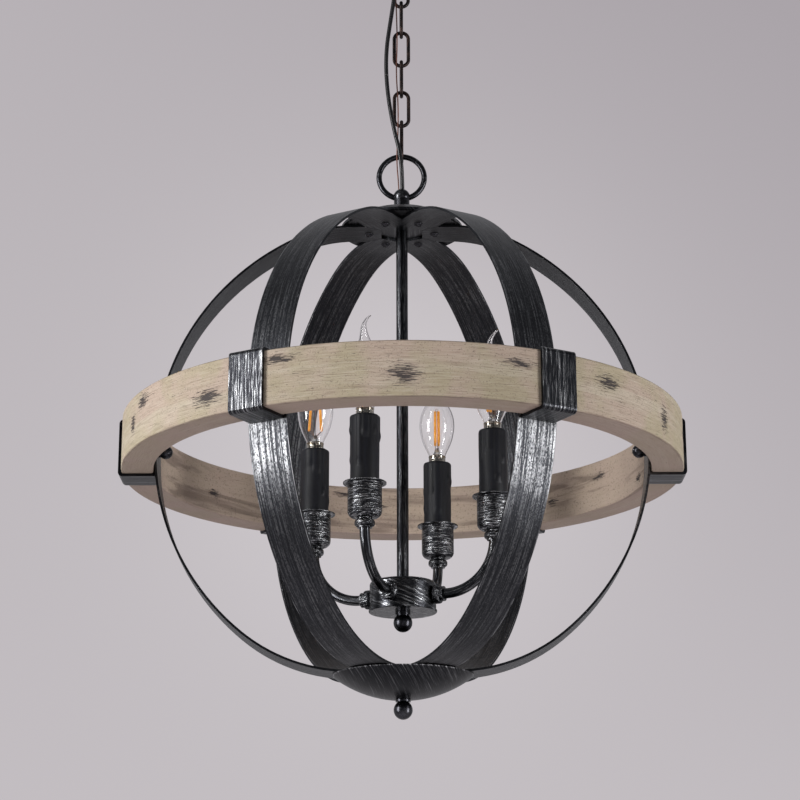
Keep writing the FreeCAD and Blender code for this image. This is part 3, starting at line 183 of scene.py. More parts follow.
class Finish:
    """A material's nodes, added one at a time. Lengths are metres in the row frame."""

    def __init__(self, name, **constants):
        self.material = bpy.data.materials.new(name)
        self.material.use_nodes = True
        self.nodes = self.material.node_tree.nodes
        self.links = self.material.node_tree.links
        self.shader = self.nodes["Principled BSDF"]
        for socket, value in constants.items():
            self.shader.inputs[socket.replace("_", " ")].default_value = value
        place = self.nodes.new("ShaderNodeTexCoord")
        split = self.nodes.new("ShaderNodeSeparateXYZ")
        self.links.new(place.outputs["Object"], split.inputs[0])
        self.where = place.outputs["Object"]
        self.x, self.y, self.z = split.outputs

    def feed(self, socket, value):
        """A socket gets another node's output, or a plain value."""
        if isinstance(value, bpy.types.NodeSocket):
            self.links.new(value, socket)
        else:
            socket.default_value = value

    def sets(self, **inputs):
        """The shader's sockets get these outputs."""
        for socket, value in inputs.items():
            self.feed(self.shader.inputs[socket.replace("_", " ")], value)

    def math(self, operation, *values, clamp=False):
        """The outcome of one sum or comparison."""
        node = self.nodes.new("ShaderNodeMath")
        node.operation = operation
        node.use_clamp = clamp
        for socket, value in zip(node.inputs, values):
            self.feed(socket, value)
        return node.outputs[0]

    def times(self, *values):
        """All the values, multiplied."""
        total = values[0]
        for value in values[1:]:
            total = self.math("MULTIPLY", total, value)
        return total

    def add(self, *values):
        """All the values, added."""
        total = values[0]
        for value in values[1:]:
            total = self.math("ADD", total, value)
        return total

    def less(self, value, taken):
        """A value with another taken from it."""
        return self.math("SUBTRACT", value, taken)

    def length(self, a, b):
        """The length of a step that goes a one way and b square to it."""
        return self.math("SQRT", self.add(self.times(a, a), self.times(b, b)))

    def noise(self, size, at=None, detail=4.0, roughness=0.55, warp=0.0):
        """Cloudy noise whose lumps are about this size."""
        node = self.nodes.new("ShaderNodeTexNoise")
        node.inputs["Scale"].default_value = 1 / size
        node.inputs["Detail"].default_value = detail
        node.inputs["Roughness"].default_value = roughness
        node.inputs["Distortion"].default_value = warp
        self.feed(node.inputs["Vector"], self.where if at is None else at)
        return node.outputs["Fac"]

    def streaks(self, place, sizes, detail, roughness=0.55, warp=0.0):
        """Noise whose lumps have a size of their own along each of the place's three ways."""
        node = self.nodes.new("ShaderNodeCombineXYZ")
        for socket, value, size in zip(node.inputs, place, sizes):
            self.feed(socket, self.math("DIVIDE", value, size))
        return self.noise(1.0, node.outputs[0], detail, roughness, warp)

    def band(self, value, low, high):
        """0 below low, 1 above high and smooth between, or the other way round."""
        node = self.nodes.new("ShaderNodeMapRange")
        node.interpolation_type = "SMOOTHSTEP"
        node.inputs["From Min"].default_value = min(low, high)
        node.inputs["From Max"].default_value = max(low, high)
        node.inputs["To Min"].default_value = 0.0 if low < high else 1.0
        node.inputs["To Max"].default_value = 1.0 if low < high else 0.0
        self.feed(node.inputs["Value"], value)
        return node.outputs[0]

    def levels(self, value, low, high):
        """A value from 0 to 1 becomes one from low to high."""
        node = self.nodes.new("ShaderNodeMapRange")
        node.inputs["To Min"].default_value = low
        node.inputs["To Max"].default_value = high
        self.feed(node.inputs["Value"], value)
        return node.outputs[0]

    def mix(self, amount, under, over):
        """A colour that goes from under to over."""
        node = self.nodes.new("ShaderNodeMix")
        node.data_type = "RGBA"
        self.feed(node.inputs["Factor"], amount)
        colours = [socket for socket in node.inputs if socket.type == "RGBA"]
        self.feed(colours[0], under)
        self.feed(colours[1], over)
        return [socket for socket in node.outputs if socket.type == "RGBA"][0]

    def wash(self, colour, strength, mask, tone):
        """A colour with a tone laid over it where the mask is, at this strength."""
        return self.mix(self.times(mask, strength), colour, srgb(*tone))

    def bump(self, height, depth, strength):
        """The skin's normals follow a height, up to this depth."""
        node = self.nodes.new("ShaderNodeBump")
        node.inputs["Strength"].default_value = strength
        node.inputs["Distance"].default_value = depth
        self.feed(node.inputs["Height"], height)
        self.links.new(node.outputs[0], self.shader.inputs["Normal"])

    def turn(self):
        """The angle round the lamp's axis."""
        return self.math("ARCTAN2", self.y, self.x)

    def radius(self):
        """The distance from the lamp's axis."""
        return self.length(self.x, self.y)


# dark marks on the ring: degrees round it, millimetres above its underside, half length, half height
FRONT_MARKS = (
    (-113.5, 40, 24, 7), (-90.0, 20, 21, 15), (-68.0, 35, 20, 8), (-47.5, 33, 22, 11),
    (-27.5, 22, 12, 20), (-151.6, 38, 17, 11), (-129.5, 18, 25, 12), (-157.0, 24, 10, 16),
    (-8.0, 30, 16, 9), (22.0, 20, 20, 11), (47.0, 36, 18, 8), (88.0, 24, 24, 12),
    (118.0, 37, 17, 7), (152.0, 18, 22, 11),
)
INNER_MARKS = (
    (33.0, 34, 18, 6), (13.0, 12, 12, 9), (97.0, 28, 21, 8), (144.0, 20, 16, 7), (49.0, 20, 12, 6),
    (105.0, 41, 20, 5), (-60.0, 30, 19, 9), (-110.0, 17, 16, 7), (-150.0, 30, 17, 8),
)
DARK_SCRATCH = (52, 46, 49)


def washed_wood():
    """Pale washed wood: fine short grain, faint green and pink tints and clusters of dark scratches."""
    wood = Finish("washed_wood", IOR=1.45)
    turn = wood.turn()
    radius = wood.radius()
    height = wood.less(wood.z, RING_LOW)
    along = wood.times(turn, RING_MEAN)
    outer = wood.band(radius, RING_OUT - 3 * MM, RING_OUT - 1 * MM)
    inner = wood.band(radius, RING_IN + 2.2 * MM, RING_IN + 0.8 * MM)
    under = wood.band(height, 1.2 * MM, 0.2 * MM)

    def grain(length, width, detail, warp=0.0):
        """Noise that is drawn out along the ring."""
        sizes = (length * MM, width * MM, width * MM)
        return wood.streaks((along, height, radius), sizes, detail, 0.6, warp)

    fibres = grain(20, 1.0, 5.0)
    lines = grain(75, 2.6, 5.0, 0.3)
    clouds = grain(160, 16, 3.0, 0.6)
    tints = wood.noise(60 * MM, detail=3.0)
    pores = wood.noise(1.3 * MM, detail=2.0)
    specks = wood.band(wood.noise(2.2 * MM, detail=3.0), 0.56, 0.68)

    colour = wood.mix(wood.band(tints, 0.40, 0.60), srgb(177, 164, 138), srgb(187, 167, 151))
    for strength, mask, tone in (
        (0.50, wood.band(clouds, 0.46, 0.66), (198, 187, 167)),
        (0.30, wood.band(lines, 0.48, 0.32), (140, 124, 104)),
        (0.42, wood.band(fibres, 0.52, 0.70), (208, 199, 182)),
        (0.50, wood.band(fibres, 0.48, 0.32), (122, 104, 88)),
        (0.55, wood.band(pores, 0.40, 0.31), (92, 78, 68)),
        # the inner face's paler pink tint is partly its own colour and partly painted light, raised to make up
        # for the dim light on that face
        (0.70, inner, (198, 176, 159)),
        (0.40, wood.times(inner, specks), (104, 86, 78)),
        (0.55, wood.times(inner, wood.band(clouds, 0.50, 0.36)), (98, 82, 74)),
        (0.60, under, (146, 126, 119)),
    ):
        colour = wood.wash(colour, strength, mask, tone)

    def marks(places, face):
        """The worn marks of one face, each darkest in its middle."""
        spots = None
        for degrees, middle, half_length, half_height in places:
            reach = half_length * MM / RING_MEAN
            away = wood.math("DIVIDE", wood.less(turn, math.radians(degrees)), reach)
            off = wood.math("DIVIDE", wood.less(height, middle * MM), half_height * MM)
            spot = wood.math("SUBTRACT", 1.0, wood.length(away, off), clamp=True)
            spots = spot if spots is None else wood.math("MAXIMUM", spots, spot)
        return wood.times(spots, face)

    # scratches crowd together where a mark is, and the mark's outline is ragged
    strokes = grain(11, 1.0, 3.0, 0.2)
    ragged = wood.times(wood.less(grain(13, 4.8, 3.0, 0.4), 0.5), 1.6)
    spots = wood.math("MAXIMUM", marks(FRONT_MARKS, outer), marks(INNER_MARKS, inner))
    crowd = wood.times(wood.add(spots, wood.times(spots, ragged)), 0.31)
    worn = wood.band(wood.add(strokes, crowd), 0.665, 0.735)
    colour = wood.wash(colour, 0.30, wood.band(spots, 0.10, 0.9), (132, 118, 106))
    colour = wood.wash(colour, 0.92, worn, DARK_SCRATCH)

    # the outer face's two edges are a little darker, in short lengths
    from_edge = wood.math("MINIMUM", height, wood.less(RING_HIGH - RING_LOW, height))
    edge = wood.times(wood.band(from_edge, 1.6 * MM, 0.5 * MM),
                      wood.band(radius, RING_OUT - 2.5 * MM, RING_OUT - 0.8 * MM),
                      wood.levels(wood.band(fibres, 0.35, 0.6), 1.0, 0.5))
    colour = wood.wash(colour, 0.60, edge, (92, 78, 66))
    wood.sets(Base_Color=colour, Roughness=wood.levels(fibres, 0.64, 0.84))
    relief = wood.less(wood.add(fibres, wood.times(pores, 0.5)), wood.times(worn, 0.9))
    wood.bump(relief, 0.8 * MM, 0.8)
    return wood.material


# A lay gives three lengths at a point of brushed iron: across the brush lines, along them, and a third
# that keeps the pieces' patterns apart.

APART = 0.31  # so far through the noise from one strap or arm to the next, for each radian between them
GLOBE_RADIUS = 230 * MM
CUP_RADIUS = 15.7 * MM
ARM_BEND = 47.5 * MM
HUB_RADIUS = 31 * MM

FIRST_X, FIRST_Y = axis_of("bulb_cap_1")
ARM_FIRST = math.atan2(FIRST_Y, FIRST_X)
ARM_REACH = math.hypot(FIRST_X, FIRST_Y)
BEND_HIGH = above_ring(-68)
BEND_OUT = ARM_REACH - ARM_BEND


def sector(iron, first, step):
    """Across and out along the nearest of some like pieces round the axis, and that piece's turn."""
    turn = iron.less(iron.turn(), first)
    nearest = iron.times(iron.math("ROUND", iron.math("DIVIDE", turn, step)), step)
    off = iron.less(turn, nearest)
    radius = iron.radius()
    return iron.times(radius, iron.math("SINE", off)), iron.times(radius, iron.math("COSINE", off)), nearest


def strap_lay(iron):
    """Along each strap, round the globe."""
    across, out, nearest = sector(iron, 0.0, STRAP_STEP)
    rise = iron.less(iron.z, above_ring(25))
    return across, iron.times(iron.math("ARCTAN2", rise, out), GLOBE_RADIUS), iron.times(nearest, APART)


def upright_lay(iron):
    """Straight up, as on the rod."""
    return iron.x, iron.z, iron.y


def cup_lay(iron):
    """Level, round each candle's own axis."""
    across, out, nearest = sector(iron, ARM_FIRST, ARM_STEP)
    away = iron.less(out, ARM_REACH)
    along = iron.times(iron.math("ARCTAN2", across, away), CUP_RADIUS)
    span = iron.length(across, away)
    return iron.z, along, iron.add(iron.times(nearest, APART), iron.times(span, 0.3))


def tube_lay(iron):
    """Along each arm, round its bend."""
    across, out, nearest = sector(iron, ARM_FIRST, ARM_STEP)
    sideways = iron.less(out, BEND_OUT)
    rise = iron.less(iron.z, BEND_HIGH)
    along = iron.times(iron.math("ARCTAN2", rise, sideways), ARM_BEND)
    return iron.length(sideways, rise), along, iron.add(across, iron.times(nearest, APART))


def swirl_lay(iron):
    """Round the lamp's axis, climbing slowly."""
    along = iron.times(iron.turn(), HUB_RADIUS)
    across = iron.add(iron.times(iron.z, 0.94), iron.times(along, 0.34))
    return across, along, iron.times(iron.radius(), 0.2)


def slanted_lay(iron):
    """Down to the right on a slant, across the bowl and the cap."""
    across = iron.add(iron.times(iron.x, 0.8), iron.times(iron.z, 0.6))
    along = iron.less(iron.times(iron.z, 0.8), iron.times(iron.x, 0.6))
    return across, along, iron.times(iron.y, 0.02)


def strap_rub_and_painted_highlight(iron):
    """The straps are rubbed silver, most strongly just under the ring, where the extra silver is a painted
    highlight, and little near the cap and the bowl.
    """
    # below: the painted highlight band just under the ring; above: a little more rubbing over the ring
    below = iron.times(iron.band(iron.z, above_ring(-90), above_ring(-16)),
                       iron.band(iron.z, above_ring(60), above_ring(30)))
    above = iron.times(iron.band(iron.z, above_ring(40), above_ring(60)),
                       iron.band(iron.z, above_ring(270), above_ring(90)))
    return iron.add(0.17, iron.times(below, 0.56), iron.times(above, 0.06))


def bowl_rub_and_painted_glint(iron):
    """The bowl has only faint scratches, and a thin silver line along its upper rim that is both rubbing and a
    painted glint.
    """
    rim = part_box("bottom_bowl")[1][2]
    # the thin band at the rim is the silver line: rubbing and a painted glint together
    return iron.add(0.30, iron.times(iron.band(iron.z, rim - 1.2 * MM, rim - 0.5 * MM), 0.9))


SILVER = (222, 223, 226)


def rubbed_iron(name, lay, silver, width, length, grain, dust=0.10, crowd=0.48, dark=(58, 59, 63),
                rough=0.36, edge=None, relief=0.3, rub_with_painted_highlight=None):
    """Blackened iron, brushed one way and rubbed back to silver in rows of fine grains.

    width and length are the size of a brush line, and grain is the length of a grain, in millimetres.
    silver says how bright the rows are, dust how bright the grains between them, and crowd how rare the
    rows are. edge is half the width of a strip whose two edges are worn bright, partly real wear and partly
    a painted edge highlight, and relief the depth of the brushing, in millimetres. The last argument is a
    function that says where the rubbing is strong; on the straps and the bowl it also lays on painted
    highlights.
    """
    iron = Finish(name, Metallic=1.0)
    place = lay(iron)

    def brushed(wide, long, detail):
        return iron.streaks(place, (wide * MM, long * MM, wide * MM), detail, 0.6)

    lines = brushed(width, length, 4.0)
    hair = brushed(width * 0.45, length * 0.3, 3.0)
    grains = brushed(0.9, grain, 2.0)
    patches = iron.noise(24 * MM, detail=3.0, warp=0.5)
    if rub_with_painted_highlight is not None:
        # the function passed in raises the silver where the rubbing is strong, and on the straps and the bowl
        # also where a highlight is painted
        amount = rub_with_painted_highlight(iron)
        lines = iron.add(lines, iron.times(iron.less(amount, 0.3), 0.09))
        silver = iron.times(amount, silver)
    rows = iron.math("MAXIMUM", iron.band(lines, crowd, crowd + 0.12),
                     iron.times(iron.band(hair, 0.54, 0.66), 0.7))
    rub = iron.times(rows, iron.levels(iron.band(patches, 0.36, 0.62), 0.45, 1.0),
                     iron.band(grains, 0.36, 0.56))
    rub = iron.math("MAXIMUM", rub, iron.times(iron.band(grains, 0.60, 0.72), dust))
    rub = iron.times(rub, silver)
    height = iron.add(iron.times(lines, 0.8), iron.times(hair, 0.8), grains)
    if edge is not None:
        # the strip's two edges are worn bright, partly real wear and partly a painted edge highlight; its thin
        # sides, past them, are smoother and darker
        off = iron.math("ABSOLUTE", place[0])
        half = edge * MM
        # the bright edge lines: wear and a painted edge highlight together
        worn = iron.times(iron.band(off, half - 0.7 * MM, half - 0.3 * MM),
                          iron.band(off, half, half - 0.1 * MM), iron.band(patches, 0.44, 0.60))
        face = iron.band(off, half - 0.05 * MM, half - 0.2 * MM)
        rub = iron.math("MAXIMUM", iron.times(rub, iron.levels(face, 0.25, 1.0)), iron.times(worn, 0.50))
        height = iron.times(height, iron.levels(face, 0.2, 1.0))
    colour = iron.mix(iron.band(hair, 0.35, 0.70), srgb(*dimmed(dark, 0.75)), srgb(*dark))
    colour = iron.mix(rub, colour, srgb(*SILVER))
    iron.sets(Base_Color=colour, Roughness=iron.levels(rub, rough, rough - 0.06))
    iron.bump(height, relief * MM, 0.8)
    return iron.material


def cast_iron(name, dark, rough, silver, tint=(120, 120, 124)):
    """Black iron with a waxed, slightly pitted skin, rubbed in places."""
    iron = Finish(name, Metallic=1.0)
    lumps = iron.noise(10 * MM, detail=3.0, warp=0.4)
    pits = iron.noise(1.2 * MM, detail=2.0)
    colour = iron.mix(iron.band(pits, 0.3, 0.7), srgb(*dimmed(dark, 0.75)), srgb(*dark))
    colour = iron.wash(colour, silver, iron.band(lumps, 0.52, 0.74), tint)
    iron.sets(Base_Color=colour, Roughness=iron.levels(pits, rough - 0.07, rough + 0.09))
    iron.bump(iron.add(lumps, iron.times(pits, 0.15)), 0.3 * MM, 0.5)
    return iron.material


def chain_iron():
    """Dark bronze chain wire, with a red-brown cast where the skin is thin."""
    iron = Finish("chain_iron", Metallic=0.8)
    clouds = iron.noise(9 * MM, detail=4.0, warp=0.7)
    pits = iron.noise(1 * MM, detail=2.0)
    colour = iron.mix(iron.band(clouds, 0.38, 0.66), srgb(32, 29, 30), srgb(66, 52, 48))
    colour = iron.wash(colour, 0.4, iron.band(pits, 0.60, 0.72), (130, 112, 104))
    iron.sets(Base_Color=colour, Roughness=iron.levels(clouds, 0.34, 0.52))
    iron.bump(iron.add(clouds, iron.times(pits, 0.6)), 0.2 * MM, 0.6)
    return iron.material


def candle_black():
    """Matt black candle sleeve, blue in the light, with faint upright runs."""
    wax = Finish("candle_black", IOR=1.45)
    runs = wax.streaks((wax.x, wax.y, wax.z), (3.5 * MM, 3.5 * MM, 30 * MM), 3.0)
    dust = wax.noise(0.9 * MM, detail=2.0)
    colour = wax.mix(wax.band(runs, 0.35, 0.7), srgb(17, 18, 24), srgb(25, 27, 35))
    colour = wax.wash(colour, 0.25, wax.band(dust, 0.66, 0.74), (84, 87, 95))
    wax.sets(Base_Color=colour, Roughness=wax.levels(dust, 0.44, 0.60))
    wax.bump(wax.add(wax.times(runs, 0.5), wax.times(dust, 0.25)), 0.4 * MM, 0.5)
    return wax.material


def plastic(name, colour, pale, rough=0.4):
    """Moulded or drawn plastic with faint flow marks."""
    skin = Finish(name, IOR=1.5)
    flow = skin.noise(12 * MM, detail=4.0, warp=0.8)
    fine = skin.noise(0.8 * MM, detail=2.0)
    skin.sets(Base_Color=skin.mix(skin.band(flow, 0.35, 0.7), srgb(*colour), srgb(*pale)),
              Roughness=skin.levels(fine, rough - 0.08, rough + 0.10))
    skin.bump(skin.add(flow, skin.times(fine, 0.5)), 0.1 * MM, 0.5)
    return skin.material


def plated(name, colour, worn, rough):
    """Plated metal, with hairlines and a little tarnish."""
    metal = Finish(name, Metallic=1.0)
    stain = metal.noise(6 * MM, detail=4.0, warp=0.5)
    lines = metal.streaks((metal.x, metal.y, metal.z), (10 * MM, 10 * MM, 0.6 * MM), 3.0)
    metal.sets(Base_Color=metal.mix(metal.band(stain, 0.45, 0.75), srgb(*colour), srgb(*worn)),
               Roughness=metal.levels(lines, rough - 0.05, rough + 0.16))
    metal.bump(lines, 0.08 * MM, 0.6)
    return metal.material


def clear_glass(name, tint=(255, 255, 255), rough=0.0):
    """Blown glass, with the faint waves that draw soft lines in what it reflects."""
    glass = Finish(name, Roughness=rough, IOR=1.45, Transmission_Weight=1.0)
    waves = glass.noise(16 * MM, detail=2.0, warp=0.4)
    colour = glass.mix(glass.band(waves, 0.3, 0.8), srgb(*tint), srgb(*dimmed(tint, 0.99)))
    glass.sets(Base_Color=colour)
    glass.bump(waves, 0.2 * MM, 0.12)
    return glass.material


def filament():
    """An amber stick whose coating lies in fine grains over a row of chips, with a faint painted glow of its
    own.
    """
    # the weak amber emission is a painted glow; no lamp is lit inside the bulbs
    stick = Finish("filament", IOR=1.5, Emission_Strength=0.35)
    chips = stick.streaks((stick.x, stick.y, stick.z), (4 * MM, 4 * MM, 1.1 * MM), 2.0)
    grains = stick.noise(0.4 * MM, detail=2.0)
    colour = stick.mix(stick.band(chips, 0.35, 0.65), srgb(236, 148, 40), srgb(250, 178, 72))
    stick.sets(Base_Color=colour, Roughness=stick.levels(grains, 0.45, 0.65), Emission_Color=colour)
    stick.bump(grains, 0.1 * MM, 0.5)
    return stick.material


WOOD = washed_wood()
STRAP = rubbed_iron("brushed_black_iron", strap_lay, silver=0.75, width=1.8, length=100, grain=2.1,
                    dust=0.72, edge=20, rub_with_painted_highlight=strap_rub_and_painted_highlight)
CLAMP = rubbed_iron("clamp_iron", strap_lay, silver=0.66, width=1.5, length=60, grain=16, crowd=0.54,
                    dark=(42, 43, 47), rough=0.30, edge=17.25)
CAP = rubbed_iron("cap_iron", slanted_lay, silver=0.30, width=1.4, length=120, grain=40, dust=0.02,
                  crowd=0.55, dark=(54, 55, 59), rough=0.34, relief=0.1)
BOWL = rubbed_iron("bowl_iron", slanted_lay, silver=0.80, width=1.1, length=120, grain=40, dust=0.02,
                   crowd=0.57, dark=(38, 39, 43), rough=0.34, relief=0.06, rub_with_painted_highlight=bowl_rub_and_painted_glint)
ROD = rubbed_iron("rod_iron", upright_lay, silver=0.16, width=1.6, length=50, grain=12,
                  dark=(44, 45, 49), rough=0.30)
HUB = rubbed_iron("hub_iron", swirl_lay, silver=0.70, width=1.8, length=50, grain=12, crowd=0.51,
                  rough=0.26)
CUP = rubbed_iron("hammered_black_iron", cup_lay, silver=0.85, width=1.1, length=16, grain=6,
                  rough=0.26, relief=0.6)
ARM = rubbed_iron("arm_iron", tube_lay, silver=0.50, width=1.4, length=30, grain=20, rough=0.24,
                  relief=0.1)
LOOP = cast_iron("loop_iron", dark=(64, 64, 68), rough=0.22, silver=0.55, tint=(176, 177, 180))
BALL = cast_iron("black_iron", dark=(72, 72, 77), rough=0.26, silver=0.15)
CHAIN = chain_iron()
SLEEVE = candle_black()
HOLDER = plastic("phenolic", (24, 22, 22), (36, 33, 32))
CABLE = plastic("cable_jacket", (16, 15, 17), (26, 24, 26), 0.30)
EARTH = plastic("earth_wire", (104, 62, 50), (140, 92, 76), 0.42)
NICKEL = plated("nickel_cap", (190, 184, 174), (150, 140, 126), 0.10)
WIRE = plated("lead_wire", (150, 128, 120), (118, 100, 94), 0.30)
ZINC = plated("zinc_steel", (186, 188, 192), (150, 150, 154), 0.32)
GLASS = clear_glass("clear_glass")
STEM = clear_glass("stem_glass", (238, 242, 240), 0.05)
FILAMENT = filament()

WEARERS = (
    (WOOD, ["wood_ring"]),
    (CLAMP, ["ring_clamps"]),
    (CAP, ["top_cap", "top_plate", "bottom_plate", "canopy"]),
    (BOWL, ["bottom_bowl"]),
    (ROD, ["rod"]),
    (HUB, ["hub_body", "hub_cover"]),
    (CUP, ["arm_collars", "cup_necks", "socket_cups"]),
    (SLEEVE, ["candle_sleeves"]),
    (HOLDER, ["lampholders"]),
    (LOOP, ["fixture_loop", "canopy_loop"]),
    (ZINC, ["ceiling_bar", "nipple", "lock_nut"]),
    (CABLE, ["power_cable"]),
    (EARTH, ["ground_wire"]),
    (BALL, ["clamp_bolts", "top_screws", "top_nut", "bottom_screws", "bottom_nut", "bottom_finial",
            "hub_nut", "hub_finial"]),
    (STRAP, ["strap_%d" % number for number in STRAPS]),
    (CHAIN, ["link_%d" % number for number in LINKS]),
    (ARM, ["arm_%d" % number for number in ARMS]),
    (NICKEL, ["bulb_cap_%d" % number for number in ARMS]),
    (GLASS, ["bulb_glass_%d" % number for number in ARMS]),
    (STEM, ["bulb_core_%d" % number for number in ARMS]),
)
for finish, wearers in WEARERS:
    for node in wearers:
        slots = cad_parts[node].data.materials
        slots.clear()
        slots.append(finish)


# ---------------------------------------------------------------- the two cords beside the chain

CABLE_ROUTE = (
    (0.0008, 0.0002, -0.3120), (0.0008, -0.0003, -0.2880), (-0.0004, -0.0117, -0.2570),
    (-0.0084, -0.0112, -0.2240), (-0.0146, -0.0080, -0.1820), (-0.0156, -0.0070, -0.1420),
    (-0.0106, -0.0068, -0.1060), (-0.0062, -0.0072, -0.0760), (-0.0098, -0.0078, -0.0490),
    (-0.0150, -0.0080, -0.0180),
)
EARTH_ROUTE = (
    (-0.0025, 0.0000, -0.3120), (-0.0024, -0.0002, -0.2880), (-0.0052, -0.0052, -0.2580),
    (-0.0034, -0.0038, -0.2280), (-0.0033, -0.0034, -0.1940), (-0.0054, -0.0037, -0.1630),
    (-0.0040, -0.0034, -0.1290), (-0.0050, -0.0037, -0.0900), (-0.0066, -0.0046, -0.0550),
    (-0.0098, -0.0064, -0.0180),
)
CABLE_DIAMETER = 0.0041
EARTH_DIAMETER = 0.0013
CHAIN_NODES = ("fixture_loop", "link_1", "link_2", "link_3", "link_4", "link_5", "link_6", "canopy_loop")


def hinge_heights():
    """The height of each hinge of the chain, from the lamp's loop up to the canopy's."""
    return [(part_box(low)[1][2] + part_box(high)[0][2]) / 2 for low, high in zip(CHAIN_NODES, CHAIN_NODES[1:])]


def smooth_line(name, route):
    """The smooth line that a route's points steer."""
    curve = bpy.data.curves.new(name, "CURVE")
    curve.dimensions = "3D"
    curve.resolution_u = 24
    spline = curve.splines.new("NURBS")
    spline.points.add(len(route) - 1)
    for point, place in zip(spline.points, route):
        point.co = (*place, 1.0)
    spline.order_u = 3
    spline.use_endpoint_u = True
    shown = bpy.data.objects.new(name, curve)
    bpy.context.scene.collection.objects.link(shown)
    bpy.context.view_layer.update()
    mesh = bpy.data.meshes.new_from_object(shown.evaluated_get(bpy.context.evaluated_depsgraph_get()))
    line = [vertex.co.copy() for vertex in mesh.vertices]
    bpy.data.meshes.remove(mesh)
    bpy.data.objects.remove(shown)
    return line


def stretch_between(line, low, high):
    """The part of a rising line from one height to another, cut exactly there."""
    def at(a, b, height):
        return a.lerp(b, (height - a.z) / (b.z - a.z))
    part = []
    for a, b in zip(line, line[1:]):
        if a.z < low <= b.z:
            part.append(at(a, b, low))
        if low < b.z < high:
            part.append(b.copy())
        if a.z < high <= b.z:
            part.append(at(a, b, high))
    return part


def hanging_cord(name, route, diameter, finish, node):
    """A cord beside the chain, in one length for each of the chain's hinges."""
    line = smooth_line(name, route)
    hinges = hinge_heights()
    # the ends are cut a hair inside the line, and the other cuts are halfway between the hinges
    cuts = [line[0].z + 1e-6]
    cuts += [(low + high) / 2 for low, high in zip(hinges, hinges[1:])]
    cuts.append(line[-1].z - 1e-6)
    for number, hinge in enumerate(hinges):
        part = stretch_between(line, cuts[number], cuts[number + 1])
        rows = tube_rows(part, diameter / 2)
        piece = add_piece("%s_%d" % (name, number + 1), lattice(name, rows, caps=True), finish)
        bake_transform(piece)
        if number == 0:
            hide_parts(node)


hanging_cord("cable_length", CABLE_ROUTE, CABLE_DIAMETER, CABLE, "power_cable")
hanging_cord("earth_length", EARTH_ROUTE, EARTH_DIAMETER, EARTH, "ground_wire")


# ---------------------------------------------------------------- candles

SLEEVE_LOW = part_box("candle_sleeves")[0][2]
SLEEVE_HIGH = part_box("candle_sleeves")[1][2]
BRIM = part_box("socket_cups")[1][2]
SLEEVE_BODY = 13.3 * MM
SLEEVE_BORE = 11.45 * MM
SLEEVE_MOUTH = 9.0 * MM
ROUND_OVER = 2.6 * MM
WAX_FROM = BRIM + 1.0 * MM  # the sleeve is plain up to here
WAX_FADE = 3 * MM
WAX_RIPPLE = 0.10 * MM
RUNS = 9
RUN_FOOT = 4 * MM  # the length of a run's rounded lower end
BEAD = 0.8  # a run is this much thicker in the bead at its end
BEAD_ABOVE = 1.5 * MM
BEAD_LENGTH = 3 * MM
SLEEVE_SIDES = 120
SLEEVE_LEVELS = 110


def wax_runs(number):
    """A sleeve's wax runs: turn round it, half width in radians, length from the top and thickness."""
    chance = random.Random(40 + number)
    runs = []
    for k in range(RUNS):
        turn = 2 * math.pi * (k + chance.uniform(-0.3, 0.3)) / RUNS
        half, length, thick = chance.uniform(0.20, 0.34), chance.uniform(14, 58), chance.uniform(0.40, 0.80)
        runs.append((turn, half, length * MM, thick * MM))
    return runs


def dripped_sleeve(number):
    """A candle sleeve with soft wax runs of different lengths, rounded over at its mouth."""
    middle_x, middle_y = axis_of("bulb_cap_%d" % number)
    runs = wax_runs(number)

    def wax(turn, z):
        """How far the wax stands out from the plain sleeve."""
        stand = WAX_RIPPLE * math.sin(3 * turn + 130 * z + number)
        for middle, half, length, thick in runs:
            away = abs((turn - middle + math.pi) % (2 * math.pi) - math.pi) / half
            foot = SLEEVE_HIGH - length
            past = (z - foot) / RUN_FOOT
            if away >= 1 or past <= -1:
                continue
            end = 1.0 if past >= 0 else math.sqrt(1 - past * past)
            bead = 1.0 + BEAD * math.exp(-((z - foot - BEAD_ABOVE) / BEAD_LENGTH) ** 2)
            stand = max(stand, thick * bead * end * math.cos(away * math.pi / 2) ** 0.7)
        fade = min(1.0, max(0.0, (z - WAX_FROM) / WAX_FADE))
        return stand * fade

    rows = []
    for j in range(SLEEVE_LEVELS + 1):
        z = SLEEVE_LOW + (SLEEVE_HIGH - ROUND_OVER - SLEEVE_LOW) * j / SLEEVE_LEVELS
        rows.append([(SLEEVE_BODY + wax(a, z), a, z) for a in circle(SLEEVE_SIDES)])
    shoulder = rows[-1]
    for step in (0.2, 0.4, 0.6, 0.8, 1.0):
        bend = step * math.pi / 2
        z = SLEEVE_HIGH - ROUND_OVER + ROUND_OVER * math.sin(bend)
        rows.append([(r - ROUND_OVER * (1 - math.cos(bend)), a, z) for r, a, _ in shoulder])
    for radius, z in ((SLEEVE_MOUTH + 0.8 * MM, SLEEVE_HIGH), (SLEEVE_MOUTH, SLEEVE_HIGH - 0.8 * MM),
                      (SLEEVE_MOUTH, SLEEVE_HIGH - 2.5 * MM), (SLEEVE_BORE, SLEEVE_HIGH - 6 * MM),
                      (SLEEVE_BORE, SLEEVE_LOW), (SLEEVE_BODY, SLEEVE_LOW)):
        rows.append([(radius, a, z) for a in circle(SLEEVE_SIDES)])
    points = [[(middle_x + r * math.cos(a), middle_y + r * math.sin(a), z) for r, a, z in row]
              for row in rows]
    piece = add_piece("candle_sleeve_%d" % number, lattice("sleeve", points), SLEEVE)
    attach(piece, "lamp")
    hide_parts("candle_sleeves")


for number in ARMS:
    dripped_sleeve(number)


# ---------------------------------------------------------------- bulbs

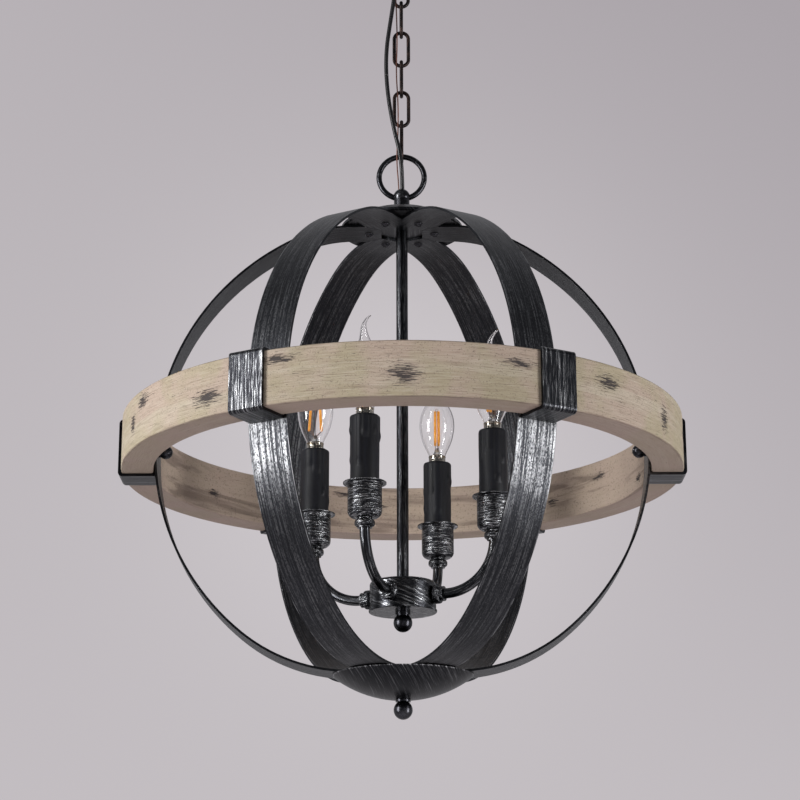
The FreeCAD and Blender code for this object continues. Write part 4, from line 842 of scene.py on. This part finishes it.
# height above the foot, radius and lean of the tip, in millimetres
GLASS_OUTLINE = (
    (0.0, 7.9, 0.0), (5.0, 9.9, 0.0), (11.6, 13.0, 0.0), (19.4, 15.6, 0.0), (29.7, 17.3, 0.0),
    (37.5, 17.0, 0.0), (44.0, 15.5, 0.0), (50.0, 13.0, 0.0), (56.0, 10.0, -0.1), (62.0, 7.2, -0.4),
    (67.5, 5.2, -0.7), (72.4, 3.9, -1.4), (77.3, 2.9, -1.7), (82.1, 2.1, -1.1), (86.0, 1.7, 0.9),
    (89.0, 1.45, 3.2), (91.0, 1.2, 5.4),
)
GLASS_WALL = 0.55  # millimetres, like the outline, and so is the next
TIP_ROUND = 0.9
TIP_LEANS = (35, -20, 60, 150)  # the way each bulb's tip leans, in degrees
STICK_TURNS = (25, 118, 90, 4)  # the way each bulb's two pairs of sticks stand apart, in degrees

# radius and height above the glass's foot, in millimetres
COLLAR_OUTLINE = (
    (7.3, -6.3), (8.2, -6.3), (8.5, -6.0), (8.5, -5.5), (8.3, -5.2), (8.25, -3.0), (8.3, -0.9),
    (8.55, -0.5), (8.55, 0.0), (8.2, 0.3), (7.3, 0.3),
)
STEM_OUTLINE = ((5.6, 0.2), (5.2, 1.2), (4.0, 3.0), (2.9, 5.0), (2.2, 7.0), (1.5, 8.6), (0.4, 9.0))
STICK_RADIUS = 1.25 * MM
STICK_END_RADIUS = 0.5 * MM
LEAD_RADIUS = 0.22 * MM
SUPPORT_RADIUS = 0.30 * MM


def eased(stations, steps):
    """More stations between the given ones, on a smooth curve through them."""
    ends = [stations[0]] + list(stations) + [stations[-1]]
    found = []
    for a, b, c, d in zip(ends, ends[1:], ends[2:], ends[3:]):
        for k in range(steps):
            s = k / steps
            found.append([0.5 * (2 * q + (r - p) * s + (2 * p - 5 * q + 4 * r - u) * s ** 2
                                 + (3 * q - p - 3 * r + u) * s ** 3) for p, q, r, u in zip(a, b, c, d)])
    return found + [list(stations[-1])]


class Bulb:
    """A bulb's place: its axis and the foot of its glass."""

    def __init__(self, number):
        self.number = number
        self.x, self.y = axis_of("bulb_cap_%d" % number)
        self.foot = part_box("bulb_glass_%d" % number)[0][2]

    def at(self, radius, turn, height):
        """A place given from the foot, in millimetres and a turn round the axis."""
        return Vector((self.x + radius * MM * math.cos(turn), self.y + radius * MM * math.sin(turn),
                       self.foot + height * MM))

    def turned(self, outline, sides):
        """Rings of points round the axis, one for each radius and height."""
        return [[self.at(radius, turn, height) for turn in circle(sides)] for radius, height in outline]


def blown_glass(bulb):
    """A thin clear bulb, drawn out at its tip into a bent tail."""
    number = bulb.number
    way = math.radians(TIP_LEANS[number - 1])

    def ring(height, radius, lean):
        centre = bulb.at(lean, way, height)
        return [centre + radius * MM * Vector((math.cos(a), math.sin(a), 0)) for a in circle(64)]

    outside = eased(GLASS_OUTLINE, 6)
    high, last, lean = outside[-1]
    dome = [(high + TIP_ROUND * math.sin(s), last * math.cos(s), lean + TIP_ROUND * math.sin(s))
            for s in (0.5, 1.0, 1.4)]
    inside = [(h, r - GLASS_WALL, e) for h, r, e in outside if h < high - 2]
    inner_tip = (inside[-1][0] + 0.5, 0.25, inside[-1][2])
    rows = [ring(*station) for station in [inner_tip] + inside[::-1] + outside + dome]
    piece = add_piece("bulb_shell_%d" % number, lattice("shell", rows, caps=True), GLASS)
    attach(piece, "bulb_%d" % number)
    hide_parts("bulb_glass_%d" % number)


def nickel_collar(bulb):
    """The bright collar between a bulb's glass and its sleeve."""
    number = bulb.number
    rows = bulb.turned(COLLAR_OUTLINE, 72)
    piece = add_piece("bulb_collar_%d" % number, lattice("collar", rows + rows[:1]), NICKEL)
    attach(piece, "bulb_%d" % number)


def bulb_inside(bulb):
    """A short glass stem, crossed lead wires and two pairs of upright amber sticks."""
    number = bulb.number
    rows = bulb.turned(STEM_OUTLINE, 32)
    stem = add_piece("bulb_stem_%d" % number, lattice("stem", rows, caps=True), STEM)
    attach(stem, "bulb_%d" % number)
    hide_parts("bulb_core_%d" % number)
    way = math.radians(STICK_TURNS[number - 1])
    sticks = bmesh.new()
    wires = bmesh.new()

    def add_tube(build, line, radii, sides):
        mesh = lattice("tube", tube_rows(line, radii, sides), caps=True)
        build.from_mesh(mesh)
        bpy.data.meshes.remove(mesh)

    def stands(out, off, height):
        """A place that is so far out along the sticks' way, so far off it and so high."""
        return bulb.at(math.hypot(out, off), way + math.atan2(off, out), height)

    for side in (-1, 1):
        tops = []
        for off in (-1.7, 1.7):
            low, high = stands(6.0 * side, off, 12.8), stands(3.8 * side, off, 46.0)
            ends = [low.lerp(high, step) for step in (0.0, 0.02, 0.5, 0.98, 1.0)]
            add_tube(sticks, ends, [STICK_END_RADIUS] + [STICK_RADIUS] * 3 + [STICK_END_RADIUS], 10)
            add_tube(wires, [low, stands(3.0 * side, off, 9.2), stands(-2.4 * side, off, 4.4),
                             stands(-5.2 * side, off, 0.8)], LEAD_RADIUS, 8)
            tops.append(high)
        add_tube(wires, [tops[0], stands(3.6 * side, -0.9, 48.0), stands(3.6 * side, 0.9, 48.0), tops[1]],
                 LEAD_RADIUS, 8)
    support = [bulb.at(0.3, 0.0, 6.0), bulb.at(0.5, 0.0, 26.0), bulb.at(0.3, 0.0, 47.6)]
    add_tube(wires, support, SUPPORT_RADIUS, 8)
    for name, build, finish, look in (("bulb_filaments", sticks, FILAMENT, "filament"),
                                      ("bulb_wires", wires, WIRE, "nickel_cap")):
        mesh = bpy.data.meshes.new(name)
        build.to_mesh(mesh)
        build.free()
        piece = add_piece("%s_%d" % (name, number), mesh, finish)
        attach(piece, "bulb_%d" % number)
        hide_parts("bulb_core_%d" % number)


for number in ARMS:
    bulb = Bulb(number)
    blown_glass(bulb)
    nickel_collar(bulb)
    bulb_inside(bulb)


# ---------------------------------------------------------------- studio

FLOOR_HIGH = -2.90
FLOOR_RINGS = (0.02, 2.0, 6.0, 14.0)
ROOM_STRENGTH = 0.70

# the backdrop's level: its start, and how it falls upwards, to the right and towards the top right corner
LEVEL_START, LEVEL_UP, LEVEL_RIGHT, LEVEL_CORNER = 0.70, -1.25, -0.50, -2.4
# the glow behind the globe: how far up it is, as a sine, how wide it spreads, and how bright it is
GLOW_HIGH, GLOW_SPREAD, GLOW_STRENGTH = 0.275, 0.0114, 0.50

# name, place, width, height and watts
LAMPS = (
    ("key", (-1.8, -2.1, 0.9), 1.4, 1.4, 9.0),
    ("left_box", (-2.25, -1.14, -0.40), 0.75, 2.0, 58.0),
    ("right_box", (2.25, -1.14, -0.97), 0.75, 1.8, 38.0),
    ("front_fill", (0.9, -2.6, -0.4), 1.0, 1.0, 1.5),
)


def room():
    """A plain room that lights the lamp, and the backdrop that is seen behind it instead."""
    world = bpy.data.worlds.new("studio")
    bpy.context.scene.world = world
    world.use_nodes = True
    nodes, links = world.node_tree.nodes, world.node_tree.links
    light = nodes["Background"]
    picture = nodes.new("ShaderNodeBackground")
    place = nodes.new("ShaderNodeTexCoord")
    split = nodes.new("ShaderNodeSeparateXYZ")
    links.new(place.outputs["Generated"], split.inputs[0])
    right, away, up = split.outputs

    def add_math(operation, *values):
        node = nodes.new("ShaderNodeMath")
        node.operation = operation
        for socket, value in zip(node.inputs, values):
            if isinstance(value, bpy.types.NodeSocket):
                links.new(value, socket)
            else:
                socket.default_value = value
        return node.outputs[0]

    def ramp(value, *stops):
        node = nodes.new("ShaderNodeValToRGB")
        points = node.color_ramp.elements
        while len(points) < len(stops):
            points.new(1.0)
        for point, (position, colour) in zip(points, stops):
            point.position, point.color = position, srgb(*colour)
        links.new(value, node.inputs[0])
        return node.outputs[0]

    # the light: dim on the camera's side and bright behind the lamp
    walls = ramp(add_math("MULTIPLY_ADD", away, 0.5, 0.5), (0.0, (96, 97, 100)), (0.30, (128, 129, 132)),
                 (0.62, (190, 190, 194)), (1.0, (202, 201, 205)))
    links.new(walls, light.inputs["Color"])
    light.inputs["Strength"].default_value = ROOM_STRENGTH

    # the backdrop: darker towards the top right, and lightest just behind the globe
    off = add_math("SUBTRACT", up, GLOW_HIGH)
    far = add_math("ADD", add_math("MULTIPLY", right, right), add_math("MULTIPLY", off, off))
    glow = add_math("MULTIPLY", add_math("EXPONENT", add_math("DIVIDE", far, -GLOW_SPREAD)), GLOW_STRENGTH)
    level = add_math("MULTIPLY_ADD", up, LEVEL_UP, LEVEL_START)
    level = add_math("ADD", level, add_math("MULTIPLY", right, LEVEL_RIGHT))
    level = add_math("ADD", level, add_math("MULTIPLY", add_math("MULTIPLY", right, off), LEVEL_CORNER))
    backdrop = ramp(add_math("ADD", level, glow), (0.0, (170, 164, 169)), (1.0, (210, 205, 208)))
    links.new(backdrop, picture.inputs["Color"])

    path = nodes.new("ShaderNodeLightPath")
    seen = add_math("MAXIMUM", path.outputs["Is Camera Ray"], path.outputs["Is Transmission Ray"])
    choice = nodes.new("ShaderNodeMixShader")
    links.new(seen, choice.inputs[0])
    links.new(light.outputs[0], choice.inputs[1])
    links.new(picture.outputs[0], choice.inputs[2])
    links.new(choice.outputs[0], nodes["World Output"].inputs[0])


def floor():
    """A pale floor, well below the lamp."""
    finish = Finish("floor", Roughness=0.9, Emission_Strength=0.24)
    pale = finish.mix(finish.noise(0.9, detail=2.0), srgb(213, 209, 211), srgb(219, 215, 217))
    finish.sets(Base_Color=pale, Emission_Color=pale)
    rings = [[Vector((r * math.cos(a), r * math.sin(a), FLOOR_HIGH)) for a in circle(96)]
             for r in FLOOR_RINGS]
    add_piece("floor", lattice("floor", rings), finish.material)


def lamps():
    """Soft boxes at the front and the sides, turned to the ring."""
    target = Vector((0, 0, above_ring(20)))
    for name, place, wide, tall, watts in LAMPS:
        data = bpy.data.lights.new(name, "AREA")
        data.shape = "RECTANGLE"
        data.size = wide
        data.size_y = tall
        data.energy = watts
        lamp = bpy.data.objects.new(name, data)
        bpy.context.scene.collection.objects.link(lamp)
        lamp.location = place
        lamp.rotation_euler = (target - Vector(place)).to_track_quat("-Z", "Y").to_euler()
        lamp.visible_camera = False


room()
floor()
lamps()
bpy.context.scene.view_settings.view_transform = "Standard"
